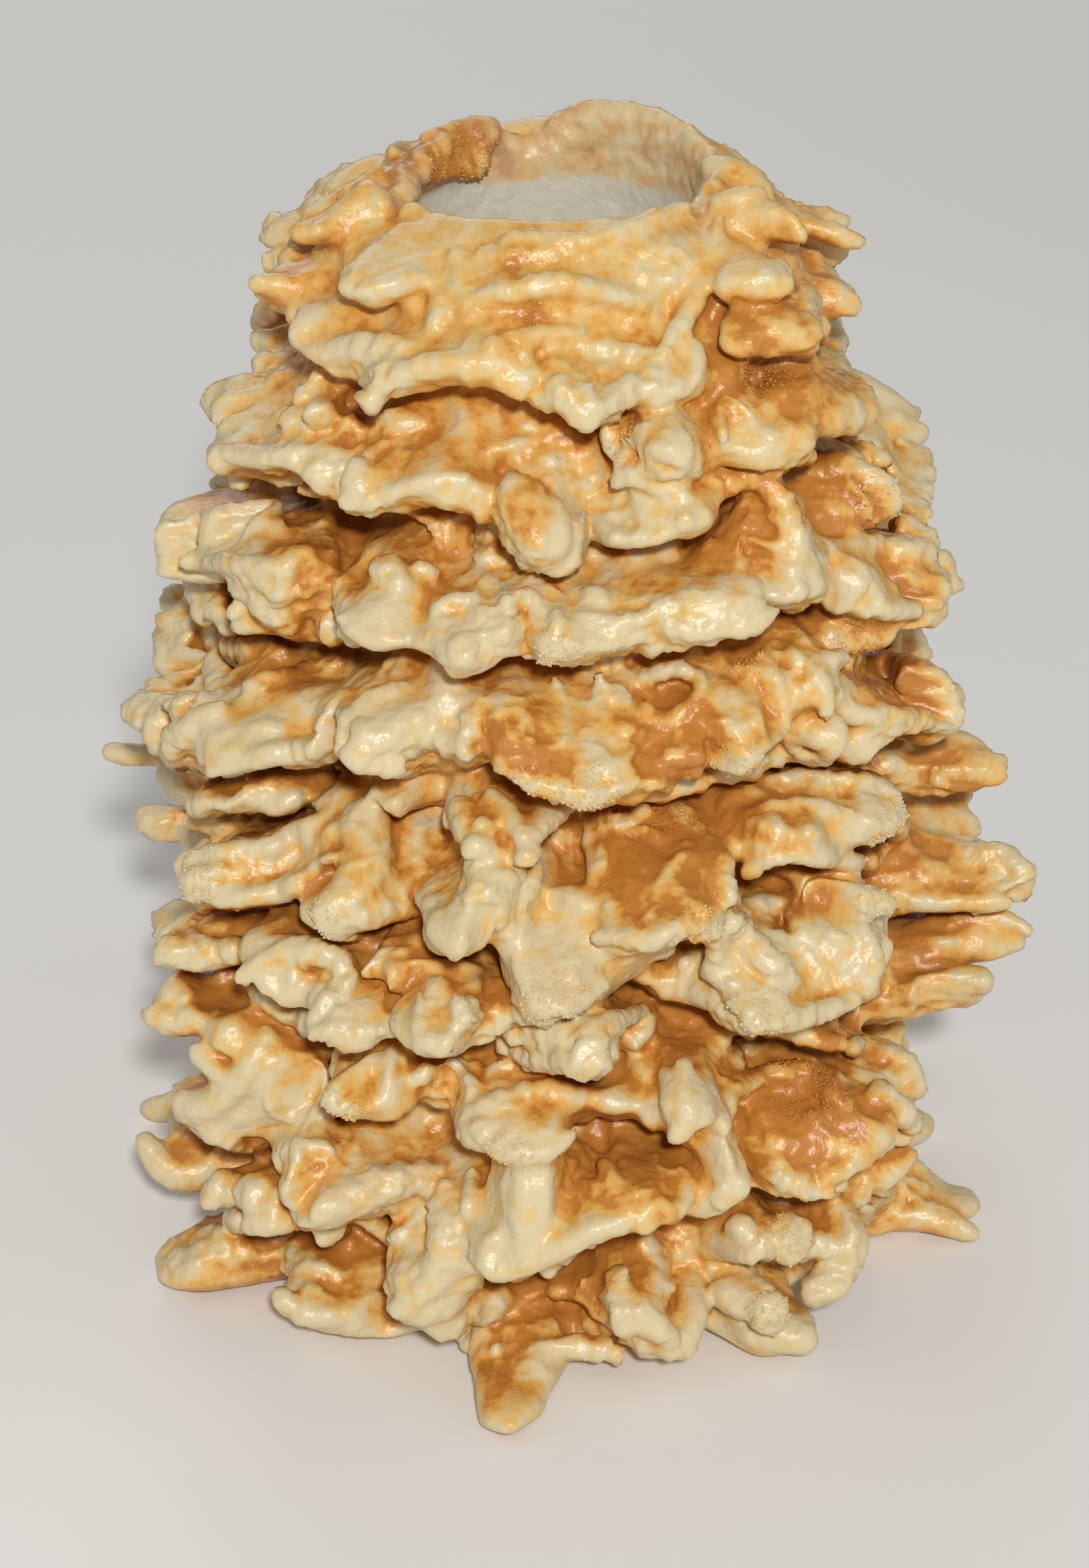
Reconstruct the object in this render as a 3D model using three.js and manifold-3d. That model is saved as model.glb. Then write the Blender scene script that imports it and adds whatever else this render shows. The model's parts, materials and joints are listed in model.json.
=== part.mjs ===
// A spit cake: batter poured in many thin coats over a turning spit, so that it sets as a tall tapering
// tube with tier upon tier of drooping tongues. Millimetres, +Z up, the front is -Y.
import * as THREE from "three";
import { mergeVertices } from "three/addons/utils/BufferGeometryUtils.js";
import Module from "manifold-3d";

// Where the bore stands: the tongues reach further to the right and the front than to the left and the back
const AXIS_X = -9.5;
const AXIS_Y = 6;

// The tube
const RIM_HEIGHT = 368;
const RIM_THICKNESS = 6;
const BORE_RADIUS_TOP = 45.5;
const BORE_RADIUS_FOOT = 50;
const WALL_RADIUS_TOP = 61;
const WALL_RADIUS_FOOT = 92;
const WALL_TOP_HEIGHT = 340;
const CROWN_RADIUS = 70;
const CROWN_HEIGHT = 354;
const COLUMNS = 80;

// A shelf of batter and its lip
const LIP_HALF_DEPTH = 3.6;
const LIP_DEPTH_PER_BREADTH = 0.09;
const LIP_FLOOR = 4;
const LIP_INSET_TOP = 5;
const LIP_INSET_BELOW = 6;
const SLOPE_PLACE = 0.46;
const SLOPE_SAG = 0.24;
const RECESS_DROP = 2;
const TONGUE_ROUNDING = 0.12;
const TONGUE_CROWN = 1;
const TONGUE_SLANT = 0.09;
const TONGUE_TILT = 3.5;
const GAP_SLOPE = 10;
const GAP_LIP = 0.6;
const VALLEY_SHARE_TOP = 0.66;
const VALLEY_SHARE_FOOT = 0.28;
const HEIGHT_REACH = 14;
const ROOT_SWAY = 5;

// A loose finger between the shelves
const FINGER_ROOT_DEPTH = 4;
const FINGER_RISE = 13;
const FINGER_RISE_LEAST = 2;

// The crust's colour
const CRUST = 0xd9b16c;

// The uneven rim: [azimuth, half width in degrees, lift in mm]
const RIM_WAVES = [
  [0, 50, 1],
  [60, 25, -3],
  [151, 26, 4],
  [188, 12, -11],
  [220, 24, -3],
  [275, 40, -7],
];

// The shelves from the top down, with the tongues of their front half. A tongue is
// [azimuth of its tip in degrees, height of its tip, reach from the axis, breadth].
const SHELVES = [
  [
    [-75, 335, 97, 20],
    [-50, 330, 98, 20],
    [-33, 326, 99, 16],
    [-14, 336, 95, 30],
    [6, 322, 100, 16],
    [26, 329, 95, 28],
    [51, 334, 97, 20],
    [76, 326, 98, 14],
  ],
  [
    [-83, 295, 110, 14],
    [-69, 288, 111, 26],
    [-52, 291, 108, 22],
    [-36, 292, 108, 26],
    [-20, 298, 106, 28],
    [0, 285, 113, 24],
    [24, 293, 108, 26],
    [46, 306, 105, 24],
    [72, 301, 106, 20],
  ],
  [
    [-81, 252, 124, 26],
    [-54, 255, 119, 24],
    [-30, 258, 118, 28],
    [-13, 253, 119, 22],
    [1, 256, 119, 22],
    [20, 262, 116, 30],
    [41, 267, 116, 26],
    [67, 272, 113, 24],
  ],
  [
    [-66, 205, 131, 18],
    [-55, 203, 132, 18],
    [-31, 222, 127, 28],
    [-9, 223, 127, 26],
    [6, 213, 132, 26],
    [25, 217, 128, 22],
    [42, 231, 124, 26],
    [67, 236, 122, 22],
    [81, 238, 127, 20],
  ],
  [
    [-86, 183, 139, 14],
    [-61, 182, 130, 22],
    [-11, 198, 132, 12],
    [-3, 196, 132, 10],
    [58, 208, 128, 22],
    [75, 191, 135, 24],
  ],
  [
    [-56, 157, 140, 18],
    [-31, 167, 138, 26],
    [-13, 171, 138, 26],
    [16, 169, 137, 30],
    [38, 184, 132, 24],
    [52, 179, 136, 30],
    [88, 165, 147, 16],
  ],
  [
    [-64, 127, 142, 18],
    [-40, 142, 140, 26],
    [-27, 133, 141, 20],
    [-13, 132, 142, 22],
    [-1, 145, 143, 20],
    [30, 135, 140, 28],
    [45, 140, 140, 22],
    [88, 122, 158, 22],
  ],
  [
    [-62, 108, 141, 20],
    [-49, 98, 141, 18],
    [-28, 103, 142, 22],
    [-7, 97, 144, 28],
    [18, 103, 139, 18],
    [42, 113, 130, 18],
    [88, 98, 157, 18],
  ],
  [
    [-57, 74, 142, 26],
    [-34, 66, 142, 20],
    [-9, 58, 143, 30],
    [4, 64, 141, 22],
    [15, 75, 142, 16],
    [23, 72, 142, 14],
    [41, 77, 143, 30],
    [62, 80, 140, 20],
    [83, 86, 143, 18],
  ],
  [
    [-74, 37, 138, 26],
    [-44, 53, 140, 24],
    [-17, 32, 142, 26],
    [13, 30, 140, 18],
    [30, 45, 140, 14],
    [43, 42, 140, 22],
    [58, 56, 133, 18],
  ],
  [
    [-62, 8, 148, 30],
    [-33, 13, 132, 32],
    [-5, 8, 159, 22],
    [17, 19, 141, 16],
    [35, 9, 139, 20],
    [80, 8, 148, 22],
  ],
];

// Fingers and knobs between the shelves, by the same four sizes
const FINGERS = [
  [-70, 356, 84, 13],
  [-41, 351, 86, 28],
  [48, 352, 87, 13],
  [52, 369, 80, 9],
  [65, 358, 91, 11],
  [85, 345, 98, 10],
  [-52, 308, 104, 12],
  [22, 311, 102, 14],
  [36, 317, 99, 22],
  [55, 316, 101, 24],
  [-59, 240, 118, 16],
  [58, 250, 114, 14],
  [43, 216, 126, 16],
  [-36, 163, 134, 12],
  [47, 157, 136, 18],
  [6, 127, 142, 17],
  [-24, 147, 139, 12],
  [54, 68, 138, 16],
  [-28, 60, 138, 10],
  [-52, 46, 139, 14],
  [29, 23, 138, 14],
];

// The far half carries the same shelves on at even steps: [height of the tips, reach]
const FAR_SHELVES = [
  [333, 97],
  [299, 106],
  [266, 115],
  [233, 123],
  [201, 130],
  [170, 136],
  [138, 141],
  [106, 143],
  [74, 143],
  [42, 141],
  [10, 141],
];
const FAR_START = 104;
const FAR_END = 260;
const FAR_STEP = 25;
const FAR_BREADTH_LEAST = 16;
const FAR_BREADTH_MOST = 30;

const wasm = await Module();
wasm.setup();

// A repeatable draw between two values.
let drawState = 20417;
function draw(low, high) {
  drawState = (drawState * 16807) % 2147483647;
  return low + ((high - low) * drawState) / 2147483647;
}

// The shorter way round from one azimuth to another, in degrees.
function turnBetween(from, to) {
  return ((((to - from + 180) % 360) + 360) % 360) - 180;
}

// The point at an azimuth, a distance from the axis and a height, with a step sideways.
function pointAt(azimuth, radius, height, sideways = 0) {
  const turn = THREE.MathUtils.degToRad(azimuth);
  return new THREE.Vector3(
    radius * Math.sin(turn) + sideways * Math.cos(turn),
    -radius * Math.cos(turn) + sideways * Math.sin(turn),
    height,
  );
}

// The outer radius of the bare tube.
function wallRadius(height) {
  const share = THREE.MathUtils.clamp(height / WALL_TOP_HEIGHT, 0, 1);
  return THREE.MathUtils.lerp(WALL_RADIUS_FOOT, WALL_RADIUS_TOP, share);
}

// How much of the tongues' reach is left in the gaps: the upper shelves are nearly whole skirts.
function valleyShare(height) {
  const share = THREE.MathUtils.clamp(height / WALL_TOP_HEIGHT, 0, 1);
  return THREE.MathUtils.lerp(VALLEY_SHARE_FOOT, VALLEY_SHARE_TOP, share);
}

// How far the rim stands above or below its mean height at an azimuth.
function rimLift(azimuth) {
  let lift = 0;
  for (const [middle, halfWidth, height] of RIM_WAVES) {
    lift += height * Math.exp(-((turnBetween(middle, azimuth) / halfWidth) ** 2));
  }
  return lift;
}

// A shelf with all its tongues: those of the front, and those drawn for the far half.
function wholeShelf(front, index) {
  const [height, reach] = FAR_SHELVES[index];
  const far = [];
  const start = FAR_START + (index % 2) * (FAR_STEP / 2);
  for (let azimuth = start; azimuth < FAR_END; azimuth += FAR_STEP) {
    far.push([
      turnBetween(0, azimuth + draw(-5, 5)),
      height + draw(-6, 6),
      reach + draw(-6, 6),
      draw(FAR_BREADTH_LEAST, FAR_BREADTH_MOST),
    ]);
  }
  const rows = [...front, ...far].sort((a, b) => a[0] - b[0]);
  return rows.map(([azimuth, tipHeight, tipReach, breadth]) => ({
    azimuth,
    height: tipHeight,
    reach: tipReach,
    breadth,
    slant: draw(-TONGUE_SLANT, TONGUE_SLANT),
    tilt: draw(-TONGUE_TILT, TONGUE_TILT),
  }));
}

// The azimuth of each column along a shelf: even steps, with the nearest columns moved on to the tips and
// sides of the tongues.
function columnAzimuths(tongues) {
  const step = 360 / COLUMNS;
  const anchors = [[0, -180]];
  for (const { azimuth, reach, breadth } of tongues) {
    const half = THREE.MathUtils.radToDeg(breadth / 2 / reach);
    for (const target of [azimuth - half, azimuth, azimuth + half]) {
      const [lastColumn, lastAzimuth] = anchors[anchors.length - 1];
      const column = Math.max(lastColumn + 1, Math.round((target + 180) / step));
      if (column < COLUMNS && target > lastAzimuth + 0.3 && target < 179) {
        anchors.push([column, target]);
      }
    }
  }
  anchors.push([COLUMNS, 180]);
  const azimuths = [];
  for (let i = 0; i < anchors.length - 1; i += 1) {
    const [fromColumn, fromAzimuth] = anchors[i];
    const [toColumn, toAzimuth] = anchors[i + 1];
    for (let column = fromColumn; column < toColumn; column += 1) {
      const share = (column - fromColumn) / (toColumn - fromColumn);
      azimuths.push(THREE.MathUtils.lerp(fromAzimuth, toAzimuth, share));
    }
  }
  return azimuths;
}

// A shelf's lip at an azimuth: full and thick on a tongue, falling back and thinner in the gaps between.
function lipAt(tongues, azimuth) {
  let radius = 0;
  let height = 0;
  let depth = 0;
  let fullness = GAP_LIP;
  let weights = 0;
  for (const tongue of tongues) {
    const offset = THREE.MathUtils.degToRad(turnBetween(tongue.azimuth, azimuth)) * tongue.reach;
    const half = tongue.breadth / 2;
    const across = THREE.MathUtils.clamp(offset / half, -1, 1);
    const beside = Math.max(0, Math.abs(offset) - half);
    const wall = wallRadius(tongue.height);
    const full = 1 - TONGUE_ROUNDING * across ** 2 + tongue.slant * across;
    const nearness = Math.exp(-((beside / GAP_SLOPE) ** 2));
    const share = Math.max(valleyShare(tongue.height), full * nearness);
    const weight = Math.exp(-((beside / HEIGHT_REACH) ** 2)) + 1e-6 / (1 + beside);
    radius = Math.max(radius, THREE.MathUtils.lerp(wall, tongue.reach, share));
    height += weight * (tongue.height + tongue.tilt * across - TONGUE_CROWN * across ** 2);
    depth += weight * (LIP_HALF_DEPTH + LIP_DEPTH_PER_BREADTH * tongue.breadth);
    fullness = Math.max(fullness, nearness);
    weights += weight;
  }
  return {
    radius,
    height: Math.max(LIP_FLOOR, height / weights),
    depth: (fullness * depth) / weights,
  };
}

// How far the roots of a shelf lean to one side of its tips, in degrees.
function rootSway(azimuth, shelf) {
  return ROOT_SWAY * Math.sin(THREE.MathUtils.degToRad(4 * azimuth + 77 * shelf));
}

// A closed three.js geometry as a solid that can be joined and cut.
function solidOf(geometry) {
  geometry.deleteAttribute("normal");
  geometry.deleteAttribute("uv");
  const welded = mergeVertices(geometry, 1e-3);
  return new wasm.Manifold(
    new wasm.Mesh({
      numProp: 3,
      vertProperties: welded.getAttribute("position").array,
      triVerts: new Uint32Array(welded.index.array),
    }),
  );
}

// The profile of one column: from the foot of the bore out, up the shelves, over the rim and down the bore.
function columnProfile(lips, azimuths, column) {
  const top = azimuths[0][column];
  const lift = rimLift(top);
  const lowest = lips.length - 1;
  const recesses = lips.map((shelf, index) => {
    const lip = shelf[column];
    const below = index < lowest ? lips[index + 1][column].height : 0;
    return index < lowest ? Math.max(lip.height - lip.depth - RECESS_DROP, (lip.height + below) / 2) : 0;
  });
  const points = [pointAt(azimuths[lowest][column], BORE_RADIUS_FOOT, 0)];
  for (let shelf = lowest; shelf >= 0; shelf -= 1) {
    const azimuth = azimuths[shelf][column];
    const lip = lips[shelf][column];
    const recess = recesses[shelf];
    const above = shelf > 0 ? recesses[shelf - 1] : CROWN_HEIGHT;
    const sway = rootSway(azimuth, shelf);
    const slopeRadius = THREE.MathUtils.lerp(wallRadius(above), lip.radius, SLOPE_PLACE);
    const slopeHeight = THREE.MathUtils.lerp(lip.height + lip.depth, above, SLOPE_SAG);
    points.push(pointAt(azimuth + sway, wallRadius(recess), recess));
    points.push(pointAt(azimuth, lip.radius - LIP_INSET_BELOW, Math.max(0, lip.height - lip.depth)));
    points.push(pointAt(azimuth, lip.radius, lip.height));
    points.push(pointAt(azimuth, lip.radius - LIP_INSET_TOP, lip.height + lip.depth));
    points.push(pointAt(azimuth + sway / 2, slopeRadius, slopeHeight));
  }
  points.push(pointAt(top, CROWN_RADIUS, CROWN_HEIGHT + lift * 0.6));
  points.push(pointAt(top, BORE_RADIUS_TOP + RIM_THICKNESS, RIM_HEIGHT - 2 + lift));
  points.push(pointAt(top, BORE_RADIUS_TOP + RIM_THICKNESS / 2, RIM_HEIGHT + lift));
  points.push(pointAt(top, BORE_RADIUS_TOP, RIM_HEIGHT - 4 + lift));
  points.push(pointAt(top, BORE_RADIUS_TOP - 0.5, RIM_HEIGHT - 60));
  points.push(points[0].clone());
  return points;
}

// The tube with its shelves: one lathe, whose columns are shaped one by one.
function tubeSolid() {
  const shelves = SHELVES.map(wholeShelf);
  const azimuths = shelves.map(columnAzimuths);
  const lips = shelves.map((tongues, shelf) => {
    return azimuths[shelf].map((azimuth) => lipAt(tongues, azimuth));
  });
  const columns = [];
  for (let column = 0; column < COLUMNS; column += 1) {
    columns.push(columnProfile(lips, azimuths, column));
  }
  const around = columns[0].map(() => new THREE.Vector2(1, 0));
  const geometry = new THREE.LatheGeometry(around, COLUMNS);
  const position = geometry.getAttribute("position");
  for (let column = 0; column <= COLUMNS; column += 1) {
    columns[column % COLUMNS].forEach((point, place) => {
      position.setXYZ(column * around.length + place, point.x, point.y, point.z);
    });
  }
  return solidOf(geometry);
}

// A finger: a six-sided tapering tube that leaves the wall, sinks a little and ends in a blunt nose.
function fingerSolid([azimuth, height, reach, breadth]) {
  const root = wallRadius(height) - FINGER_ROOT_DEPTH;
  const depth = THREE.MathUtils.clamp(breadth * 0.4, 4, 7.5);
  const distances = [root, root + (reach - root) * 0.7, root + (reach - root) * 0.93];
  const halfBreadths = [breadth * 0.7, breadth * 0.5, breadth * 0.36];
  const halfDepths = [depth * 1.5, depth, depth * 0.8];
  const rise = THREE.MathUtils.clamp(CROWN_HEIGHT - height, FINGER_RISE_LEAST, FINGER_RISE);
  const rises = [rise, rise * 0.25, 0];
  const geometry = new THREE.CylinderGeometry(1, 1, 1, 6, 2);
  const position = geometry.getAttribute("position");
  for (let i = 0; i < position.count; i += 1) {
    const ring = Math.round((position.getY(i) + 0.5) * 2);
    const isTip = ring === 2 && Math.hypot(position.getX(i), position.getZ(i)) < 0.5;
    const point = pointAt(
      azimuth,
      isTip ? reach : distances[ring],
      height + rises[ring] + position.getX(i) * halfDepths[ring],
      position.getZ(i) * halfBreadths[ring],
    );
    position.setXYZ(i, point.x, point.y, point.z);
  }
  return solidOf(geometry);
}

// The whole cake as one solid, with any pocket shut in by a finger filled.
function cakeSolid() {
  let joined = tubeSolid();
  for (const finger of FINGERS) {
    joined = joined.add(fingerSolid(finger));
  }
  return joined.decompose().sort((a, b) => b.volume() - a.volume())[0];
}

// A joined solid as a three.js geometry, moved so that the middle of the whole outline is at the origin.
function geometryOf(solid) {
  const mesh = solid.getMesh();
  const geometry = new THREE.BufferGeometry();
  geometry.setAttribute("position", new THREE.BufferAttribute(mesh.vertProperties.slice(), 3));
  geometry.setIndex(new THREE.BufferAttribute(mesh.triVerts.slice(), 1));
  geometry.translate(AXIS_X, AXIS_Y, 0);
  geometry.computeVertexNormals();
  return geometry;
}

const crust = new THREE.MeshStandardMaterial({ color: CRUST, roughness: 0.45, metalness: 0 });
const cake = new THREE.Mesh(geometryOf(cakeSolid()), crust);
cake.name = "spit_cake";

const part = new THREE.Group();
part.name = "spit_cake_part";
part.add(cake);

export default part;
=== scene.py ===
# %% [markdown]
# # A spit cake in Blender
#
# This lesson dresses a plain faceted solid of a spit cake so that it looks baked. The real cake is made
# by pouring thin batter over a turning spit: every pour runs outwards, drips and sets, so the cake grows
# as a tall tube with shelves of blunt tongues, each with a thick pale lip and a browner hollow behind it.
#
# The solid already has every shelf and tongue in its place. What is missing is everything soft: rounded
# lips, runs and folds, beads of batter, broken crumbly ends, and the colour of the bake.

# %% Load the solid as a fixed frame
import json
import math
import random

import bpy
import numpy as np
from mathutils import Matrix, Vector, kdtree, noise
from mathutils.bvhtree import BVHTree

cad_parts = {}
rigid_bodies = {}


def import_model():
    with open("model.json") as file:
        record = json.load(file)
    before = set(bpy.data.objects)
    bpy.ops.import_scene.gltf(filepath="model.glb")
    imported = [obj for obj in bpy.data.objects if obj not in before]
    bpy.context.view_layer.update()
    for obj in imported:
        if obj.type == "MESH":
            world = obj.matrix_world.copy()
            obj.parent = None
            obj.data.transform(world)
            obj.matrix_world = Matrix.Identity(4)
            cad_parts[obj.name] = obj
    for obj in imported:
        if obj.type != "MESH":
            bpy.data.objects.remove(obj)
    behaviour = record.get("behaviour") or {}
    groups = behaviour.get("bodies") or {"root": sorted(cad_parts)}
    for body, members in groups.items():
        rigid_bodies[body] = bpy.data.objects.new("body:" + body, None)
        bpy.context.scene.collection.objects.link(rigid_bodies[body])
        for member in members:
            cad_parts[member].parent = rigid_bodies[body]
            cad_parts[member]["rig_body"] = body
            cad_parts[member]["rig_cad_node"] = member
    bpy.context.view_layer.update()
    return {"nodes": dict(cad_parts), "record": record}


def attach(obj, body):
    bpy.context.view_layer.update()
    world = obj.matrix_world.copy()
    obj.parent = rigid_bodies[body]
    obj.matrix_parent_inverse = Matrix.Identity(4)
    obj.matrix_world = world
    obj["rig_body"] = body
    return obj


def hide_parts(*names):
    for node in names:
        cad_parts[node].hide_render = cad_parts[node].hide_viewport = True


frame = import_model()

# %% [markdown]
# ## Where the axis is
#
# The cake is round a bore, so most of its forms are easiest to describe by three numbers: the azimuth
# round the axis (0 at the front, growing to the right), the distance from the axis and the height. The
# record states the bore as a box, and the middle of that box is the axis.

# %% Find the axis of the bore
bore_low, bore_high = frame["record"]["physics"]["openings"][0]["box_m"]
AXIS_X = (bore_low[0] + bore_high[0]) / 2
AXIS_Y = (bore_low[1] + bore_high[1]) / 2
print("the bore stands at", round(AXIS_X * 1000, 1), round(AXIS_Y * 1000, 1), "mm")


def around_axis(points):
    """The azimuth in degrees, the distance and the height of each point."""
    x = points[:, 0] - AXIS_X
    y = points[:, 1] - AXIS_Y
    return np.degrees(np.arctan2(x, -y)), np.hypot(x, y), points[:, 2]


# %% [markdown]
# ## A camera where the photographer stood
#
# The camera looks down at about 27 degrees from a metre and a half away, through a long lens, so the
# tiers hardly shrink with distance. It is made first, so that every later step can be looked at.

# %% Set up the camera
PICTURE_WIDTH = 1596
PICTURE_HEIGHT = 2299
FOCAL_PIXELS = 7362
CAMERA_BACK = 1.452
CAMERA_UP = 0.907
AXIS_OFF_CENTRE = 0.0025
FOOT_BELOW_CENTRE = 585.5
SENSOR_WIDTH = 36
SIGHT_ENDS = 50

camera_data = bpy.data.cameras.new("studio_camera")
camera_data.sensor_width = SENSOR_WIDTH
camera_data.lens = SENSOR_WIDTH * FOCAL_PIXELS / PICTURE_HEIGHT
camera_data.clip_end = SIGHT_ENDS
camera = bpy.data.objects.new("studio_camera", camera_data)
bpy.context.scene.collection.objects.link(camera)
look_down = math.atan(CAMERA_UP / CAMERA_BACK) - math.atan(FOOT_BELOW_CENTRE / FOCAL_PIXELS)
camera.location = (AXIS_X - AXIS_OFF_CENTRE, AXIS_Y - CAMERA_BACK, CAMERA_UP)
camera.rotation_euler = (math.radians(90) - look_down, 0, 0)
bpy.context.scene.camera = camera
print("the camera looks down", round(math.degrees(look_down), 1), "degrees")

# %% [markdown]
# ## A working copy of the solid
#
# The solid itself is never touched. A copy of it is merged first, because its triangles are loose, and
# then becomes the clay for the crust.


# %% Copy the solid
MERGE_WITHIN = 0.00001


def only(piece):
    """Make one piece the whole selection."""
    bpy.ops.object.select_all(action="DESELECT")
    piece.select_set(True)
    bpy.context.view_layer.objects.active = piece


only(frame["nodes"]["spit_cake"])
bpy.ops.object.duplicate()
crust = bpy.context.object
crust.name = "cake_crust"
crust.parent = None
del crust["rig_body"]
del crust["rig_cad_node"]
bpy.ops.object.mode_set(mode="EDIT")
bpy.ops.mesh.select_all(action="SELECT")
bpy.ops.mesh.remove_doubles(threshold=MERGE_WITHIN)
bpy.ops.object.mode_set(mode="OBJECT")
print("the copy has", len(crust.data.vertices), "corners")

# %% [markdown]
# ## From facets to batter
#
# A voxel remesh turns the facets into an even skin, and a few rounds of smoothing melt the edges. This is
# what gives batter its look: every corner is rounded, and every inner corner is filled a little.


# %% Remesh and melt
FIRST_VOXEL = 0.0018
FINE_VOXEL = 0.0015
MELT_ROUNDS = 8
SET_ROUNDS = 3


def apply_modifier(piece, kind, **settings):
    """Add a modifier with its settings and apply it."""
    only(piece)
    modifier = piece.modifiers.new(kind.lower(), kind)
    for name, value in settings.items():
        setattr(modifier, name, value)
    bpy.ops.object.modifier_apply(modifier=modifier.name)


def melt(piece, voxel, rounds):
    """Turn a piece into one even skin and soften it."""
    apply_modifier(piece, "REMESH", mode="VOXEL", voxel_size=voxel)
    apply_modifier(piece, "SMOOTH", factor=0.5, iterations=rounds)


melt(crust, FIRST_VOXEL, MELT_ROUNDS)
print("the melted skin has", len(crust.data.vertices), "points")


# %% [markdown]
# ## The skin as arrays
#
# From here on the crust is shaped as a sculptor would do it, by moving the points of its skin. Sculpt
# brushes need a hand on the mouse, so the points are read into arrays, moved by rules and written back.
# These helpers read and write them, give soft noise, and tell how far each point stands out from its
# surroundings.

# %% Read and write the skin as arrays
NOISE_GIRTH = 0.07


def points_of(piece):
    points = np.empty(len(piece.data.vertices) * 3, np.float32)
    piece.data.vertices.foreach_get("co", points)
    return points.reshape(-1, 3).astype(float)


def normals_of(piece):
    normals = np.empty(len(piece.data.vertices) * 3, np.float32)
    piece.data.vertex_normals.foreach_get("vector", normals)
    return normals.reshape(-1, 3).astype(float)


def edges_of(piece):
    edges = np.empty(len(piece.data.edges) * 2, np.int32)
    piece.data.edges.foreach_get("vertices", edges)
    return edges.reshape(-1, 2)


def place_points(piece, points):
    piece.data.vertices.foreach_set("co", points.astype(np.float32).ravel())
    piece.data.update()


def relaxed(values, edges, rounds):
    """Values on the skin, averaged with their neighbours again and again."""
    first, second = edges.T
    number = len(values)
    neighbours = np.bincount(edges.ravel(), minlength=number)[:, None]
    for _ in range(rounds):
        sums = [
            np.bincount(first, values[second, k], number) + np.bincount(second, values[first, k], number)
            for k in range(values.shape[1])
        ]
        values = (values + np.stack(sums, axis=1) / neighbours) / 2
    return values


# %% Soft noise on the skin
def noise_at(points, lump, shift):
    """Soft noise from about -1 to 1 with lumps of a size in metres."""
    return np.array([noise.noise(p) for p in points / lump + shift])


def noise_vectors(points, lump, shift, apart):
    """Soft noise in three directions."""
    return np.stack([noise_at(points, lump, shift + apart * k) for k in range(3)], axis=1)


def ridges(points, lump, shift, sharp):
    """A web of ridges where soft noise changes its sign: 1 on each ridge and 0 between."""
    return np.clip(1 - sharp * np.abs(noise_at(points, lump, shift)), 0, 1)


def stretched(points, squash):
    """Points drawn in towards one girth, so that noise read there is stretched along the tongues."""
    azimuth, distance, height = around_axis(points)
    turn = np.radians(azimuth)
    drawn_in = NOISE_GIRTH + squash * distance
    return np.stack([drawn_in * np.sin(turn), drawn_in * np.cos(turn), height], axis=1)


# %% How the skin stands out and where it may move
def bulge_of(points, normals, edges, rounds):
    """How far each point stands out from a smoother copy of the skin."""
    return np.sum((points - relaxed(points, edges, rounds)) * normals, axis=1)


def above(values, start, span):
    """0 up to a start and growing to 1 over a span."""
    return np.clip((values - start) / span, 0, 1)


def below(values, end, span):
    """0 from an end on, and growing to 1 over a span below it."""
    return np.clip((end - values) / span, 0, 1)


def freedom(points):
    """0 in the bore and on the foot, which keep their shape, and 1 on the outside."""
    azimuth, distance, height = around_axis(points)
    return above(distance, 0.053, 0.008) * above(height, 0.003, 0.01)


def inwardness(points, normals):
    """How far each normal points at the axis, from -1 to 1."""
    azimuth, distance, height = around_axis(points)
    return -(normals[:, 0] * (points[:, 0] - AXIS_X) + normals[:, 1] * (points[:, 1] - AXIS_Y)) / distance


# %% Add small bodies and melt them in
def new_piece(name, corners, faces):
    """A piece of many small bodies, each given by its corners and faces."""
    mesh = bpy.data.meshes.new(name)
    mesh.from_pydata(np.concatenate(corners), [], np.concatenate(faces))
    piece = bpy.data.objects.new(name, mesh)
    bpy.context.scene.collection.objects.link(piece)
    return piece


def fuse(piece, voxel):
    """Join a piece to the crust and melt both into one skin."""
    only(crust)
    piece.select_set(True)
    bpy.ops.object.join()
    melt(crust, voxel, SET_ROUNDS)


# %% [markdown]
# ## Bend the tongues
#
# No tongue is straight. The whole skin is bent by soft noise, first in long waves and then in shorter
# ones that make the edge of every lip wander in and out.

# %% Bend by noise
BENDS = ((0.05, 0.0045, 3.1), (0.021, 0.0026, 11.7), (0.011, 0.0010, 5.2))
points = points_of(crust)
free = freedom(points)
for lump, swing, shift in BENDS:
    bend = noise_vectors(points, lump, shift, 37.0)
    points += bend * (swing * free)[:, None]
place_points(crust, points)
print("bent by up to", round(float(np.abs(bend).max()) * swing * 1000, 1), "mm in the last step")

# %% [markdown]
# ## Finding places on the skin
#
# What lies on the crust is placed in two ways: drawn at random, with a seed and a least spacing, or by
# the point of the picture where it shows. For that the eye looks through the point and the place where it
# meets the skin is taken. Ovals on the skin are laid along the flow of the batter, which runs outwards
# and down.

# %% Scatter over the skin
TRIES_EACH = 40
draw = random.Random(41)


def scatter(likely, number, spacing):
    """Pick points of the skin at random, none closer together than the spacing."""
    tree = kdtree.KDTree(number)
    picks = []
    for _ in range(number * TRIES_EACH):
        if len(picks) == number:
            break
        pick = int(likely[draw.randrange(len(likely))])
        spot = Vector(points[pick])
        if picks and tree.find(spot)[2] < spacing:
            continue
        picks.append(pick)
        tree.insert(spot, pick)
        tree.balance()
    return picks


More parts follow.
